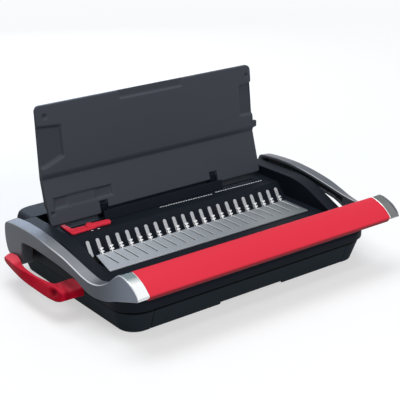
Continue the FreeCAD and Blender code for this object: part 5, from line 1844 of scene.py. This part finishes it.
@dataclass
class Studio:
    """Pale floor, soft lamps and the camera of the picture."""

    eye: Point3 = (-792.30, -1050.18, 597.57)
    pitch_down: float = 21.265
    azimuth: float = 37.506
    lens: float = 100.31
    sensor: float = 36.0
    far_clip: float = 20.0
    room_light: float = 0.3
    room_colour: Colour = (0.92, 0.95, 1.0)
    floor_half: float = 6.0
    floor_lift: Point2 = (0.5, 0.9)
    floor_stops: Point2 = (0.08, 0.5)
    floor_fleck: float = 40.0
    floor_tones: Point2 = (0.5, 0.52)
    lamps: tuple[Lamp, ...] = (
        Lamp("sky_lamp", (-0.15, 0.2, 1.9), (0.0, 0.0, 0.06), 1.3, 22.0, (0.95, 0.975, 1.0)),
        Lamp("front_lamp", (-0.1, -2.0, 1.0), (0.0, 0.0, 0.1), 1.2, 22.0, (0.99, 0.99, 0.98)),
        Lamp("rear_lamp", (0.36, 1.14, 0.57), (-0.2, 0.07, 0.08), 0.5, 4.0, (0.6, 0.76, 1.0)),
    )

    def build(self) -> None:
        """Sets up the camera, the lamps, the world and the floor."""
        self._camera()
        self._world()
        self._floor()
        for lamp in self.lamps:
            lamp.build()
        bpy.context.scene.view_settings.view_transform = "Standard"

    def _camera(self) -> None:
        """Camera at the picture's angle."""
        data = bpy.data.cameras.new("picture_camera")
        data.sensor_width = self.sensor
        data.lens = self.lens
        data.clip_end = self.far_clip
        camera = bpy.data.objects.new("picture_camera", data)
        camera.location = [value * MM for value in self.eye]
        camera.rotation_euler = (math.radians(90 - self.pitch_down), 0.0, math.radians(-self.azimuth))
        bpy.context.scene.collection.objects.link(camera)
        bpy.context.scene.camera = camera

    def _world(self) -> None:
        """Pale surroundings that look white to the camera."""
        world = bpy.data.worlds.new("pale_room")
        tree = Tree(world)
        light = tree.node("ShaderNodeBackground", {},
                          {"Color": (*self.room_colour, 1.0), "Strength": self.room_light})
        white = tree.node("ShaderNodeBackground", {}, {"Color": (1.0, 1.0, 1.0, 1.0), "Strength": 1.0})
        mixed = tree.node("ShaderNodeMixShader", {}, {0: tree.backdrop_rays(), 1: light, 2: white})
        tree.node("ShaderNodeOutputWorld", {}, {"Surface": mixed})
        bpy.context.scene.world = world

    def _floor(self) -> None:
        """White floor that keeps a soft shadow."""
        half = self.floor_half
        mesh = bpy.data.meshes.new("floor")
        mesh.from_pydata([(x, y, 0.0) for x, y in box(-half, half, -half, half)], [], [(0, 1, 2, 3)])
        floor = bpy.data.objects.new("floor", mesh)
        bpy.context.scene.collection.objects.link(floor)
        tree = Tree.of_material("floor_paper")
        low, high = ((tone, tone, tone) for tone in self.floor_tones)
        paper = tree.blend(tree.noise(tree.place(), self.floor_fleck), low, high)
        matte = tree.node("ShaderNodeBsdfDiffuse", {}, {"Color": paper}, "BSDF")
        far = tree.node("ShaderNodeVectorMath", {"operation": "LENGTH"}, {0: tree.place()}, "Value")
        stops = [(stop, (tone, tone, tone)) for stop, tone in zip(self.floor_stops, self.floor_lift)]
        lift = tree.node("ShaderNodeValToRGB", {"stops": stops}, {0: far / half}, "Color")
        seen = tree.backdrop_rays()
        glow = tree.node("ShaderNodeEmission", {}, {"Color": lift, "Strength": seen}, "Emission")
        both = tree.node("ShaderNodeAddShader", {}, {0: matte, 1: glow})
        tree.node("ShaderNodeOutputMaterial", {}, {"Surface": both})
        mesh.materials.append(tree.owner)


def repaint_frame() -> None:
    """Gives every node of the frame that still shows its slot's material."""
    for row in frame["record"]["subparts"]:
        for place in frame["nodes"][row["node"]].material_slots:
            place.material = PAINTS.of(row["material_slot"])


def main() -> None:
    """Sets up the studio, repaints the frame and builds the sub-assemblies in order."""
    logging.basicConfig(level=logging.INFO, format="%(message)s")
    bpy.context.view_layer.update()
    Studio().build()
    repaint_frame()
    for piece in SOFT_PIECES:
        piece.build()
    rows = RowTree()
    comb = CombRow()
    comb.build(rows)
    WorkPlate().build(comb)
    BenchPrint().build(rows)
    EdgeGuide().build()
    Lid().build()
    Grip().build()
    CarryHandle().build()
    # The left arm takes a painted sheen on its top, the right one along its inner edge.
    LeverArm(Side.LEFT, sheen=0.19).build()
    LeverArm(Side.RIGHT, inner_sheen=1.0).build()


if __name__ == "__main__":
    main()
